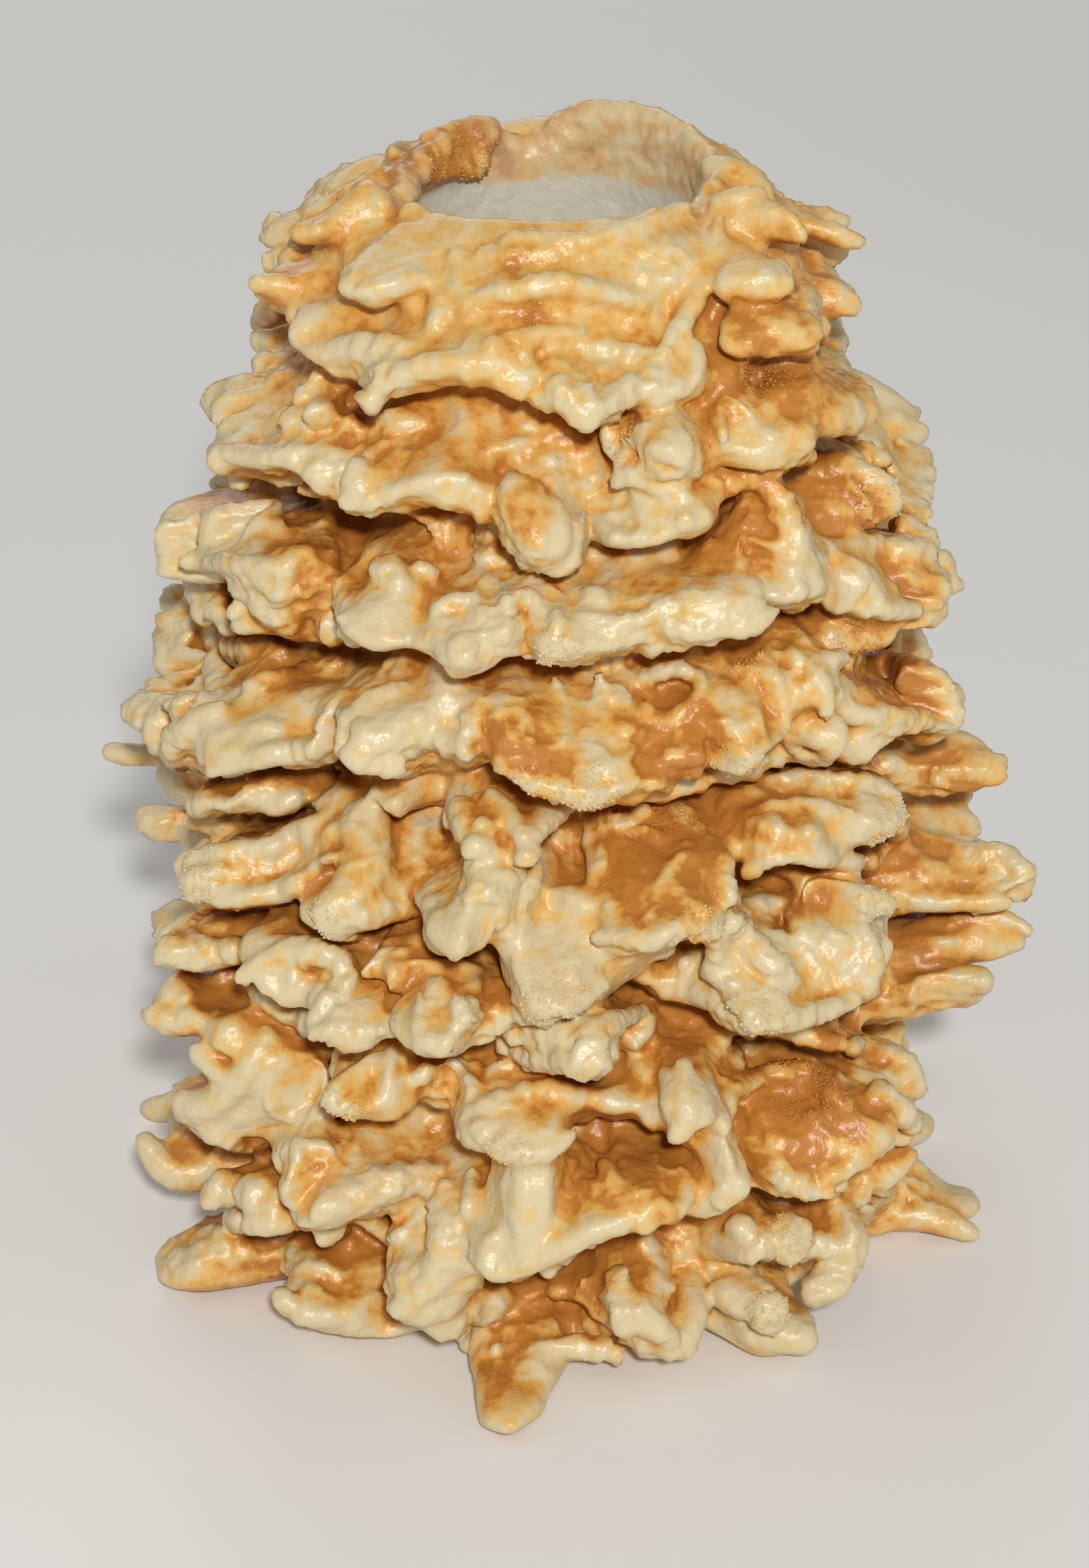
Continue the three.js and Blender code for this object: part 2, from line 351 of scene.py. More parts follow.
# %% Look through a point of the picture
def sight(x, y, turn):
    """Where the eye stands and which way it looks through a point of the picture, turned about the axis."""
    ahead = Vector((x - PICTURE_WIDTH / 2, PICTURE_HEIGHT / 2 - y, -FOCAL_PIXELS))
    ahead.rotate(camera.rotation_euler)
    about = Matrix.Rotation(math.radians(turn), 3, "Z")
    axis = Vector((AXIS_X, AXIS_Y, 0))
    return about @ (camera.location - axis) + axis, (about @ ahead).normalized()


def seen_at(x, y, turn=0):
    """The place on the skin that shows at a point of the picture."""
    eye, ahead = sight(x, y, turn)
    hit, place, normal, face = crust.ray_cast(eye, ahead)
    return np.array(place) if hit else None


# %% Lay a path of the picture on the skin
PATH_STEP = 5
MOST_MISSED = 0.6
UPRIGHT_BRIDGE = 0.024
LEVEL_BRIDGE = 0.008


def taut(depth, limit):
    """A string drawn tight over the near side of a row of depths, at most a limit in front of it."""
    hull = [0]
    for k in range(1, len(depth)):
        while len(hull) > 1:
            last, before = hull[-1], hull[-2]
            if (depth[last] - depth[before]) * (k - before) < (depth[k] - depth[before]) * (last - before):
                break
            hull.pop()
        hull.append(k)
    return np.maximum(np.interp(np.arange(len(depth)), hull, depth[hull]), depth - limit)


def softened(depth, rounds):
    """Depths averaged with the ones beside them."""
    for _ in range(rounds):
        padded = np.concatenate([depth[:1], depth, depth[-1:]])
        depth = (padded[:-2] + 2 * padded[1:-1] + padded[2:]) / 4
    return depth


def traced(row, turn):
    """A path of the picture laid on the skin, with the way the eye looks at each place of it."""
    corners = np.array(row[1:], float).reshape(-1, 2)
    run = np.concatenate([[0], np.cumsum(np.linalg.norm(np.diff(corners, axis=0), axis=1))])
    steps = np.linspace(0, run[-1], max(6, int(run[-1] / PATH_STEP)))
    path = np.stack([np.interp(steps, run, corners[:, k]) for k in range(2)], axis=1)
    for _ in range(12):
        path[1:-1] = (path[:-2] + 2 * path[1:-1] + path[2:]) / 4
    eyes, ways = zip(*[sight(x, y, turn) for x, y in path])
    hits = [crust.ray_cast(eye, way) for eye, way in zip(eyes, ways)]
    depth = np.array([(hit[1] - eye).length if hit[0] else np.nan for hit, eye in zip(hits, eyes)])
    if np.isnan(depth).mean() > MOST_MISSED:
        return None
    depth = np.where(np.isnan(depth), np.nanmedian(depth), depth)
    number = len(depth)
    near = np.array([np.percentile(depth[max(0, k - 7):k + 8], 30) for k in range(number)])
    depth = np.minimum(depth, near + 0.002)
    upright = np.ptp(corners[:, 1]) > 1.2 * np.ptp(corners[:, 0])
    behind = depth
    depth = softened(taut(depth, UPRIGHT_BRIDGE if upright else LEVEL_BRIDGE), 6)
    ways = np.array(ways)
    return np.array(eyes) + ways * depth[:, None], ways, behind - depth


# %% Ovals along the flow
def flow_at(place, normal):
    """The directions across and along the flow of the batter: outwards and down over the skin."""
    outward = np.array([place[0] - AXIS_X, place[1] - AXIS_Y, -0.05])
    along = outward - normal * np.dot(outward, normal)
    along /= np.linalg.norm(along) + 1e-9
    return np.cross(normal, along), along


def oval(points, mark):
    """The points near an oval mark and how far out each lies: 0 at the middle and 1 at the edge."""
    place, normal, half_width, half_length = mark[:4]
    reach = 1.7 * max(half_width, half_length)
    near = np.flatnonzero(np.all(np.abs(points - place) < reach, axis=1))
    across, along = flow_at(place, normal)
    offset = points[near] - place
    out = (offset @ across / half_width) ** 2 + (offset @ along / half_length) ** 2
    return near, np.sqrt(out + (offset @ normal / (1.3 * half_width + 0.003)) ** 2)


# %% [markdown]
# ## What shows at the front
#
# No two tongues of a spit cake are alike, and its look depends on where the drips, folds and holes sit.
# They were read off a grid laid over the picture. Each row holds sizes in millimetres and points of the
# picture in pixels: the path of a rope of batter, the middle of a bead or a hollow. A sight line through each
# point finds its place on the skin, so everything sits on the crust from every side.

# %% Ropes, by their paths
ROPES_SEEN = [
    (4, 504, 418, 537, 430, 565, 420, 603, 409, 645, 411),
    (5, 540, 587, 561, 563, 603, 541, 660, 533, 716, 533, 763, 533), (5, 815, 560, 838, 590, 859, 618),
    (4, 946, 553, 905, 580, 865, 612), (3, 740, 352, 800, 354, 852, 358, 894, 343, 951, 323, 1005, 303),
    (2.5, 702, 372, 763, 376, 838, 372),
    (3.5, 702, 437, 763, 425, 815, 417, 855, 425, 900, 432, 946, 448), (3, 730, 508, 790, 492, 850, 488),
    (6, 850, 513, 890, 516, 925, 521),
    (4, 1054, 319, 1048, 365, 1038, 405, 1010, 455, 985, 500, 960, 545),
    (5, 1050, 300, 1085, 297, 1115, 288), (6, 1073, 322, 1100, 330, 1139, 337, 1195, 340),
    (4, 1139, 281, 1200, 304, 1250, 326), (7, 1068, 417, 1105, 415, 1144, 417),
    (6, 1110, 483, 1150, 490, 1181, 497), (5, 1162, 403, 1172, 430, 1186, 460),
    (4.5, 448, 422, 410, 418, 373, 415), (6, 603, 511, 540, 512, 480, 515, 458, 516),
    (5, 1000, 500, 1020, 530, 1005, 565), (3.5, 420, 614, 450, 607, 480, 606, 510, 622, 540, 640),
    (4, 316, 662, 360, 668, 401, 671, 452, 662),
    (4, 505, 738, 540, 735, 575, 722, 605, 712, 640, 705, 680, 703), (5, 533, 690, 521, 716),
    (3, 690, 655, 716, 662, 746, 659, 775, 645), (9, 755, 716, 775, 760, 790, 800),
    (6, 800, 740, 815, 780, 805, 810), (4.5, 905, 700, 930, 688, 960, 705, 985, 724, 1015, 740),
    (5, 985, 768, 1010, 760, 1032, 755), (3.5, 873, 785, 892, 783, 921, 792, 959, 789, 985, 777),
    (3.5, 240, 815, 300, 822, 350, 826, 392, 838, 425, 825, 455, 808), (7, 560, 830, 575, 850, 590, 870),
    (5, 615, 835, 625, 855), (4, 503, 905, 530, 932, 560, 938, 600, 930),
    (6, 650, 950, 680, 962, 707, 955), (3, 615, 915, 640, 893, 670, 877, 700, 880),
    (2.5, 736, 905, 740, 885, 755, 874, 772, 884),
    (5, 1119, 701, 1140, 735, 1165, 780, 1172, 815, 1178, 850),
    (4, 1040, 800, 1080, 830, 1130, 840, 1165, 835), (4.5, 1120, 868, 1150, 862, 1174, 866),
    (6, 925, 835, 950, 815, 985, 803), (3.5, 790, 948, 822, 958, 863, 942, 908, 938, 940, 928),
    (4, 978, 918, 1010, 925, 1055, 922, 1100, 915, 1130, 898), (3, 1000, 872, 1050, 878, 1100, 882),
    (4, 860, 905, 905, 922, 950, 905, 985, 885), (5, 1206, 803, 1260, 800, 1310, 805, 1372, 812),
    (4, 1215, 880, 1270, 890, 1330, 895, 1370, 885),
    (4.5, 1196, 975, 1240, 964, 1290, 968, 1347, 985, 1395, 1023),
    (4, 1225, 1040, 1260, 1050, 1310, 1055, 1390, 1058),
    (4.5, 312, 1125, 360, 1114, 405, 1103, 450, 1100, 483, 1094), (6, 250, 1090, 290, 1065, 330, 1045),
    (4, 366, 1008, 400, 1000, 430, 990), (4, 500, 1085, 520, 1045, 560, 1025, 600, 1010),
    (4, 504, 1103, 534, 1118, 558, 1117, 582, 1125), (3.5, 640, 1080, 690, 1100, 729, 1110),
    (3, 880, 1000, 890, 1020, 893, 1042), (2.5, 910, 1005, 920, 1025, 915, 1040),
    (2.5, 815, 1000, 822, 1020, 825, 1035),
    (2.5, 945, 1035, 960, 1050, 1000, 1045, 1020, 1030, 1035, 1010, 1020, 990, 990, 978, 955, 990, 943,
     1010),
    (2.5, 905, 1085, 930, 1070, 955, 1078), (3, 950, 1125, 985, 1110, 1020, 1105, 1045, 1108),
    (4, 759, 1130, 788, 1150, 843, 1160, 868, 1170, 918, 1145, 969, 1145),
    (3.5, 1150, 1058, 1116, 1090, 1091, 1118, 1065, 1125),
    (4.5, 1160, 965, 1190, 985, 1208, 1015, 1212, 1045),
    (3.5, 1154, 1070, 1165, 1095, 1195, 1108, 1222, 1100, 1232, 1075, 1218, 1050),
    (4.5, 720, 1165, 745, 1195, 765, 1225, 775, 1250), (5, 672, 1180, 690, 1215, 699, 1240),
    (5, 280, 1265, 348, 1254, 408, 1239, 450, 1218, 480, 1203),
    (4, 295, 1310, 330, 1318, 390, 1310, 430, 1300, 470, 1285), (5, 285, 1200, 330, 1206, 372, 1205),
    (4, 1120, 1152, 1170, 1140, 1215, 1145, 1270, 1150, 1310, 1170),
    (3.5, 1110, 1195, 1150, 1180, 1190, 1185, 1240, 1195, 1290, 1210),
    (4, 1099, 1275, 1120, 1258, 1160, 1248, 1204, 1255, 1260, 1268, 1300, 1240, 1318, 1205),
    (2.5, 1010, 1248, 985, 1270, 968, 1295, 960, 1322),
    (5, 1065, 1346, 1090, 1375, 1120, 1408, 1160, 1440),
    (4.5, 1172, 1305, 1168, 1350, 1180, 1395, 1205, 1430), (5, 1204, 1317, 1250, 1315, 1298, 1325),
    (4, 1250, 1350, 1275, 1390, 1278, 1420, 1265, 1455),
    (4, 1099, 1500, 1150, 1492, 1204, 1482, 1250, 1462),
    (4, 876, 1375, 915, 1372, 952, 1380, 986, 1360, 1030, 1355),
    (4.5, 760, 1405, 775, 1440, 800, 1480, 839, 1468, 881, 1440),
    (5, 640, 1345, 637, 1362, 655, 1375, 675, 1387, 690, 1370),
    (4.5, 1345, 1225, 1400, 1252, 1475, 1256, 1508, 1290, 1485, 1315),
    (4.5, 1320, 1370, 1400, 1350, 1470, 1345, 1505, 1365),
    (6, 216, 1398, 260, 1392, 310, 1400, 353, 1390),
    (4.5, 355, 1432, 385, 1408, 430, 1392, 470, 1398, 505, 1415, 520, 1435, 505, 1460, 480, 1472, 465,
     1495),
    (5, 530, 1440, 560, 1440, 600, 1428, 650, 1425, 690, 1424),
    (4, 612, 1470, 612, 1510, 630, 1532, 665, 1530, 682, 1505, 670, 1470),
    (7, 600, 1540, 560, 1570, 520, 1595, 492, 1612), (2.5, 596, 1587, 635, 1568, 670, 1574, 692, 1603),
    (6, 244, 1504, 270, 1490, 300, 1500), (4.5, 288, 1540, 310, 1565, 340, 1585, 355, 1575),
    (7, 390, 1520, 370, 1560, 340, 1600, 300, 1625, 268, 1615), (4, 300, 1660, 350, 1668, 395, 1685),
    (3.8, 440, 1680, 442, 1710, 432, 1735, 424, 1752),
    (4, 751, 1515, 790, 1515, 840, 1515, 900, 1500, 940, 1480),
    (5, 700, 1625, 740, 1615, 790, 1600, 830, 1610, 870, 1612, 920, 1618, 945, 1608),
    (4.5, 700, 1650, 738, 1690, 800, 1692, 833, 1665), (5, 1000, 1560, 1005, 1600, 1008, 1640, 992, 1660),
    (7, 214, 1675, 235, 1705, 270, 1725, 310, 1712), (3.5, 334, 1718, 320, 1742, 308, 1763),
    (5, 345, 1785, 385, 1795, 430, 1790), (8, 445, 1778, 490, 1765, 540, 1745, 600, 1728, 650, 1735),
    (8, 655, 1750, 668, 1800, 655, 1850, 620, 1890, 590, 1915),
    (4, 692, 1720, 692, 1780, 700, 1840, 725, 1866),
    (5, 725, 1866, 770, 1853, 820, 1828, 870, 1803, 920, 1788),
    (4.5, 935, 1745, 960, 1775, 990, 1778, 1005, 1750, 995, 1720),
    (5, 1020, 1680, 1050, 1680, 1065, 1710, 1060, 1760),
    (4, 1075, 1600, 1110, 1580, 1160, 1572, 1210, 1590, 1245, 1640),
    (4, 1083, 1666, 1110, 1700, 1160, 1735, 1215, 1745),
    (8, 1215, 1760, 1240, 1800, 1240, 1840, 1215, 1880, 1190, 1895),
    (3, 1195, 1530, 1225, 1527, 1262, 1537), (5.5, 1330, 1692, 1300, 1720, 1270, 1755, 1257, 1780),
    (5, 1285, 1600, 1320, 1630, 1340, 1650), (7, 995, 1850, 1010, 1890, 1015, 1930, 1005, 1962),
    (3, 927, 1858, 960, 1875, 985, 1890), (5, 905, 1870, 915, 1905, 950, 1935, 985, 1965),
    (7, 1060, 1890, 1095, 1910, 1124, 1920), (7, 1100, 1955, 1140, 1955, 1180, 1965),
    (4, 780, 1980, 830, 1975, 880, 1975, 905, 1990), (5, 225, 1890, 280, 1900, 340, 1890, 385, 1880),
    (5, 410, 1900, 450, 1930, 520, 1925, 545, 1905), (6, 1275, 1800, 1320, 1780, 1370, 1785, 1425, 1810),
    (5, 669, 375, 674, 403, 683, 441, 688, 478), (3, 641, 422, 650, 460, 631, 488),
    (7.5, 1040, 243, 1075, 265, 1111, 286), (7, 1062, 624, 1062, 650), (3.5, 1087, 608, 1087, 630),
    (8, 1100, 650, 1139, 647, 1177, 637), (8, 1196, 611, 1266, 598), (3, 548, 611, 590, 617, 629, 620),
    (10, 270, 790, 310, 775, 350, 775, 398, 780), (4, 710, 938, 752, 929, 779, 932),
    (6.5, 335, 947, 374, 956, 422, 968), (7.5, 380, 887, 440, 905, 500, 923), (5, 1068, 690, 1062, 718),
    (10, 1212, 688, 1250, 715, 1290, 739), (4, 866, 870, 892, 893), (7, 1200, 938, 1244, 928, 1298, 928),
    (6, 195, 1041, 240, 1050, 300, 1032), (4, 372, 1068, 420, 1071), (4.5, 400, 1186, 435, 1167),
    (9.5, 540, 1188, 534, 1230, 540, 1260, 525, 1305, 480, 1337), (9, 735, 1250, 722, 1290, 700, 1330),
    (4.5, 1312, 1321, 1414, 1321, 1495, 1320), (5, 1351, 1405, 1420, 1394, 1495, 1381),
    (6.5, 1309, 1456, 1372, 1443, 1440, 1436), (7, 1372, 1136, 1420, 1128, 1462, 1128),
    (6.5, 813, 1321, 843, 1321, 868, 1338),
    (3.8, 506, 1502, 487, 1511, 461, 1505, 449, 1492, 408, 1479, 378, 1456, 358, 1428),
    (6, 644, 1445, 638, 1475), (4, 886, 1707, 911, 1760, 946, 1799), (3, 853, 1748, 878, 1740, 900, 1752),
    (3.8, 1111, 1633, 1132, 1666, 1165, 1678, 1189, 1674), (3.4, 470, 1351, 510, 1369, 540, 1365),
    (4.8, 762, 1539, 792, 1553, 816, 1547, 845, 1551, 874, 1570, 886, 1555),
]
print(len(ROPES_SEEN), "ropes")

# %% Beads, hollows and gaps
BEADS_SEEN = [
    (723, 509, 4), (765, 521, 3.8), (425, 337, 3.2), (467, 337, 3.2), (429, 375, 3.2), (462, 370, 2),
    (373, 413, 3), (363, 445, 2.5), (434, 460, 3.8), (1115, 286, 4.5), (1266, 558, 3.2), (1266, 596, 3),
    (1064, 638, 4.2), (1087, 612, 3.5), (299, 614, 3.2), (314, 632, 3), (422, 613, 3.2), (857, 774, 2.8),
    (930, 816, 3.5), (719, 818, 4), (680, 959, 6), (320, 899, 3.2), (347, 893, 3.4), (380, 887, 3),
    (1004, 762, 4), (366, 1008, 2.8), (582, 1126, 2.8), (687, 1054, 1.8), (708, 1212, 3.4),
    (699, 1243, 4), (768, 1252, 3.4), (426, 1266, 2.5), (402, 1320, 2.5), (429, 1314, 2.5),
    (942, 1191, 3.4), (956, 1229, 4.2), (998, 1145, 3.2), (1183, 1220, 3.5), (937, 1460, 2.3),
    (1212, 1477, 2), (1326, 1094, 2.5), (591, 1398, 2.2), (519, 1491, 1.6), (558, 1510, 2.2),
    (580, 1542, 2.8), (660, 1603, 2.8), (439, 1580, 3), (273, 1462, 2.5), (271, 1360, 2.5),
    (878, 1563, 3.2), (923, 1537, 3.4), (827, 1580, 3), (1087, 1801, 5.5), (1107, 1855, 2.5),
    (726, 1818, 4), (1280, 1613, 3.4), (685, 1973, 3.2), (726, 1986, 3), (478, 1811, 4), (513, 1824, 3),
    (424, 1752, 2.8), (911, 672, 2.4), (1097, 806, 2.2), (923, 521, 4.5), (930, 915, 4), (1356, 970, 8),
    (231, 1095, 4), (1330, 1321, 4.5), (1007, 1414, 3), (330, 1428, 5), (1259, 1539, 4.6),
    (1152, 1814, 9), (1124, 1924, 7), (862, 1884, 3), (550, 1392, 5), (1140, 1460, 3),
]
HOLLOWS_SEEN = [
    (600, 455, 9, 7, 5), (785, 465, 6, 4, 3), (772, 387, 14, 3.5, 2), (530, 653, 8, 6, 4),
    (737, 689, 3.5, 3.5, 3), (530, 815, 6, 4, 3), (659, 902, 9, 5, 3), (752, 893, 4, 5, 2.5),
    (1090, 778, 11, 8, 5), (988, 1013, 13, 9.5, 7), (935, 1086, 3.5, 3.5, 3), (1088, 1182, 7, 4, 3.5),
    (468, 1427, 8, 5, 3.5), (436, 1478, 5, 2.5, 2), (638, 1510, 5.5, 4.5, 3), (340, 1548, 6, 6, 4),
    (548, 1398, 5, 5, 4), (515, 1540, 8, 5, 5), (874, 1674, 9, 8, 7), (946, 1598, 8, 4, 3.5),
    (654, 1756, 6, 3.5, 3), (532, 1815, 14, 6, 8), (474, 1878, 8, 4, 3), (950, 1240, 5, 4, 3),
    (740, 1359, 2.8, 2.8, 5), (648, 1230, 6, 5, 2), (500, 1240, 12, 5, 4), (1145, 1348, 10, 8, 6),
    (1068, 516, 4, 5, 4), (640, 1575, 7, 5, 5), (721, 1548, 7, 6, 5), (1087, 435, 6, 4, 4),
]
GAPS_SEEN = [
    (6, 10, 330, 712, 380, 712, 440, 716), (6, 14, 255, 1146, 330, 1142, 420, 1133, 462, 1146),
    (4, 8, 525, 1248, 510, 1278, 465, 1295, 435, 1314), (5, 10, 1128, 1271, 1183, 1269, 1246, 1281),
    (6, 12, 262, 1679, 288, 1698, 343, 1705, 408, 1715), (5, 9, 510, 757, 560, 770, 600, 795, 625, 820),
    (5, 9, 560, 960, 520, 955, 470, 935, 420, 918), (5, 9, 400, 1500, 450, 1520, 490, 1530),
    (5, 8, 560, 1462, 600, 1456), (5, 10, 440, 1810, 500, 1836, 540, 1836),
    (5, 10, 763, 1881, 824, 1859, 870, 1834, 906, 1822), (5, 9, 1083, 1640, 1090, 1670, 1110, 1715),
    (4, 8, 900, 800, 880, 800, 850, 815), (3, 3, 1010, 455, 990, 480, 960, 510),
    (4, 8, 492, 1045, 494, 1070, 496, 1095), (5, 9, 1060, 1150, 1040, 1160, 1010, 1170),
    (5, 9, 1190, 1790, 1150, 1770, 1110, 1760),
]
print(len(BEADS_SEEN), "beads,", len(HOLLOWS_SEEN), "hollows and", len(GAPS_SEEN), "gaps")

# %% Notches and broken ends
NOTCHES_SEEN = [
    (690, 770, 6, 12), (868, 770, 5, 9), (1050, 770, 6, 12), (633, 850, 6, 10), (769, 935, 5, 9),
    (480, 1095, 6, 12), (705, 1108, 5, 8), (1057, 1120, 6, 10), (1135, 1030, 6, 10), (620, 1190, 8, 14),
    (800, 1330, 6, 10), (905, 1190, 9, 14), (1045, 1290, 7, 12), (1130, 1275, 9, 14), (609, 1415, 7, 12),
    (705, 1378, 5, 8), (535, 1450, 7, 12), (580, 1520, 7, 12), (705, 1522, 7, 12), (913, 1550, 6, 10),
    (1030, 1530, 6, 10), (430, 1602, 7, 12), (657, 1602, 7, 10), (835, 1690, 7, 12), (1035, 1690, 6, 10),
    (450, 1735, 6, 10), (545, 1800, 10, 14), (689, 1790, 5, 8), (1010, 1800, 7, 12), (1089, 1690, 6, 10),
    (860, 1890, 7, 10), (560, 1935, 6, 10), (400, 1925, 6, 10), (1040, 1950, 6, 10), (1060, 590, 6, 10),
    (470, 560, 6, 10),
]
CRUMBLY_SEEN = [
    (788, 1145, 8), (868, 1168, 9), (1072, 1118, 8), (285, 1285, 9), (465, 1350, 6), (804, 1478, 10),
    (830, 1440, 8), (1036, 1358, 7), (1310, 1215, 9), (500, 1628, 7), (740, 1690, 8), (1110, 1490, 9),
    (1120, 558, 12), (921, 652, 6), (1279, 739, 8), (1262, 930, 8), (1124, 1920, 7), (1152, 1814, 8),
    (1285, 1325, 6), (822, 960, 7), (785, 465, 5), (1100, 975, 5), (664, 199, 8), (640, 228, 9),
    (700, 228, 9), (985, 1200, 7), (900, 1185, 6), (1190, 1600, 14),
]
print(len(NOTCHES_SEEN), "notches and", len(CRUMBLY_SEEN), "broken ends")

# %% [markdown]
# ## Nudge the tongues into place
#
# The solid's lips are simpler than the real ones, and the bends have moved them. Each row here pairs a
# lip as it shows by now with the place where it should show, both in pixels. The skin near it is pulled
# across the line of sight by that much, as the Grab brush would do it, and the pull fades out round the
# sides.

# %% Lips as they show and as they should
LANDMARKS = [
    (825, 628, 859, 620), (320, 645, 308, 655), (487, 745, 505, 746), (570, 760, 560, 752),
    (640, 772, 640, 738), (720, 778, 712, 748), (744, 752, 755, 742), (840, 841, 797, 820),
    (880, 790, 873, 792), (950, 778, 935, 798), (1059, 738, 1040, 762), (1196, 779, 1188, 782),
    (242, 786, 238, 800), (320, 848, 322, 840), (484, 896, 508, 922), (594, 944, 575, 952),
    (648, 967, 680, 976), (758, 974, 752, 945), (813, 982, 825, 968), (895, 923, 935, 938),
    (1005, 923, 1046, 935), (1059, 882, 1122, 902), (1128, 868, 1150, 868), (183, 1053, 190, 1042),
    (299, 1101, 300, 1124), (477, 1108, 498, 1097), (560, 1100, 560, 1120), (703, 1108, 738, 1118),
    (785, 1135, 788, 1152), (909, 1199, 868, 1174), (991, 1142, 1000, 1126), (1087, 1107, 1091, 1120),
    (655, 1217, 690, 1240), (785, 1251, 770, 1255), (276, 1306, 278, 1298), (480, 1365, 475, 1352),
    (640, 1390, 660, 1386), (909, 1381, 915, 1376), (1018, 1374, 1020, 1358), (1059, 1258, 1066, 1256),
    (1141, 1255, 1150, 1250), (1350, 1217, 1322, 1208), (1169, 1450, 1160, 1490),
    (1265, 1429, 1262, 1460), (385, 1409, 360, 1425), (511, 1518, 492, 1510), (700, 1555, 648, 1540),
    (827, 1511, 800, 1488), (897, 1555, 878, 1572), (1059, 1525, 1090, 1502), (1141, 1505, 1180, 1486),
    (470, 1628, 490, 1618), (744, 1705, 760, 1694), (909, 1635, 915, 1640), (1005, 1639, 1000, 1655),
    (1087, 1740, 1100, 1712), (1180, 1720, 1181, 1748), (1290, 1657, 1312, 1664), (505, 1795, 450, 1792),
    (330, 1765, 312, 1762), (703, 1842, 720, 1870), (813, 1822, 815, 1840), (922, 1795, 925, 1792),
    (991, 1774, 985, 1782), (640, 1790, 690, 1790), (648, 1945, 615, 1936), (511, 1966, 480, 1940),
    (231, 1877, 222, 1898), (594, 1760, 578, 1800), (744, 2100, 758, 2106), (1018, 1986, 1005, 1982),
    (1142, 1986, 1140, 1980), (1388, 848, 1388, 850), (1409, 1067, 1397, 1052), (1464, 1115, 1466, 1115),
    (1505, 1272, 1510, 1288), (1498, 1354, 1500, 1362), (1443, 1450, 1440, 1442),
    (1400, 1785, 1390, 1806), (540, 590, 536, 590),
]
print(len(LANDMARKS), "lips to nudge")

# %% Nudge the tongues to where they should show
NUDGE_REACH = 62
STILL_WEIGHT = 0.25
FOOT_HEIGHT = 0.0015
points = points_of(crust)
eye = np.array(camera.location)
camera_axes = np.array(camera.rotation_euler.to_matrix())
seen = (points - eye) @ camera_axes
picture_x = PICTURE_WIDTH / 2 - FOCAL_PIXELS * seen[:, 0] / seen[:, 2]
picture_y = PICTURE_HEIGHT / 2 + FOCAL_PIXELS * seen[:, 1] / seen[:, 2]
weights = np.full(len(points), STILL_WEIGHT)
nudge = np.zeros((len(points), 2))
for from_x, from_y, to_x, to_y in LANDMARKS:
    weight = np.exp(-((picture_x - from_x) ** 2 + (picture_y - from_y) ** 2) / NUDGE_REACH**2)
    weights += weight
    nudge += weight[:, None] * [to_x - from_x, to_y - from_y]
nudge /= weights[:, None]
azimuth, distance, height = around_axis(points)
front = below(np.abs(azimuth), 108, 25) * freedom(points)
metres_a_pixel = -seen[:, 2] / FOCAL_PIXELS * front
points += (nudge[:, :1] * camera_axes[:, 0] - nudge[:, 1:] * camera_axes[:, 1]) * metres_a_pixel[:, None]
points[:, 2] = np.maximum(points[:, 2], np.minimum(height, FOOT_HEIGHT))
place_points(crust, points)
bpy.context.view_layer.update()
print("nudged by up to", round(float(np.abs(nudge).max())), "pixels")

# %% [markdown]
# ## Flaps
#
# Wide tongues hang down like the edge of a cloth. Each one here is given by two lines of the picture:
# where it leaves the crust and where its lip ends. A row of threads is drawn tight from the one to the
# other over what lies behind, swollen a little and lifted at the lip. Small balls strung on the threads
# are fused by a remesh, which leaves a sheet with a round edge and a true gap behind it. The lower ones
# hang at the back too, turned by half a turn.

# %% Model one knob
def ball(rounds):
    """The corners and faces of a round knob of radius 1."""
    bpy.ops.object.select_all(action="DESELECT")
    bpy.ops.mesh.primitive_ico_sphere_add(subdivisions=rounds, radius=1)
    knob = bpy.context.object
    corners = points_of(knob)
    faces = np.array([tuple(face.vertices) for face in knob.data.polygons])
    bpy.data.objects.remove(knob)
    return corners, faces


knob_points, knob_faces = ball(2)
coarse_points, coarse_faces = ball(1)
print("one knob has", len(knob_faces), "faces, and a coarse one", len(coarse_faces))

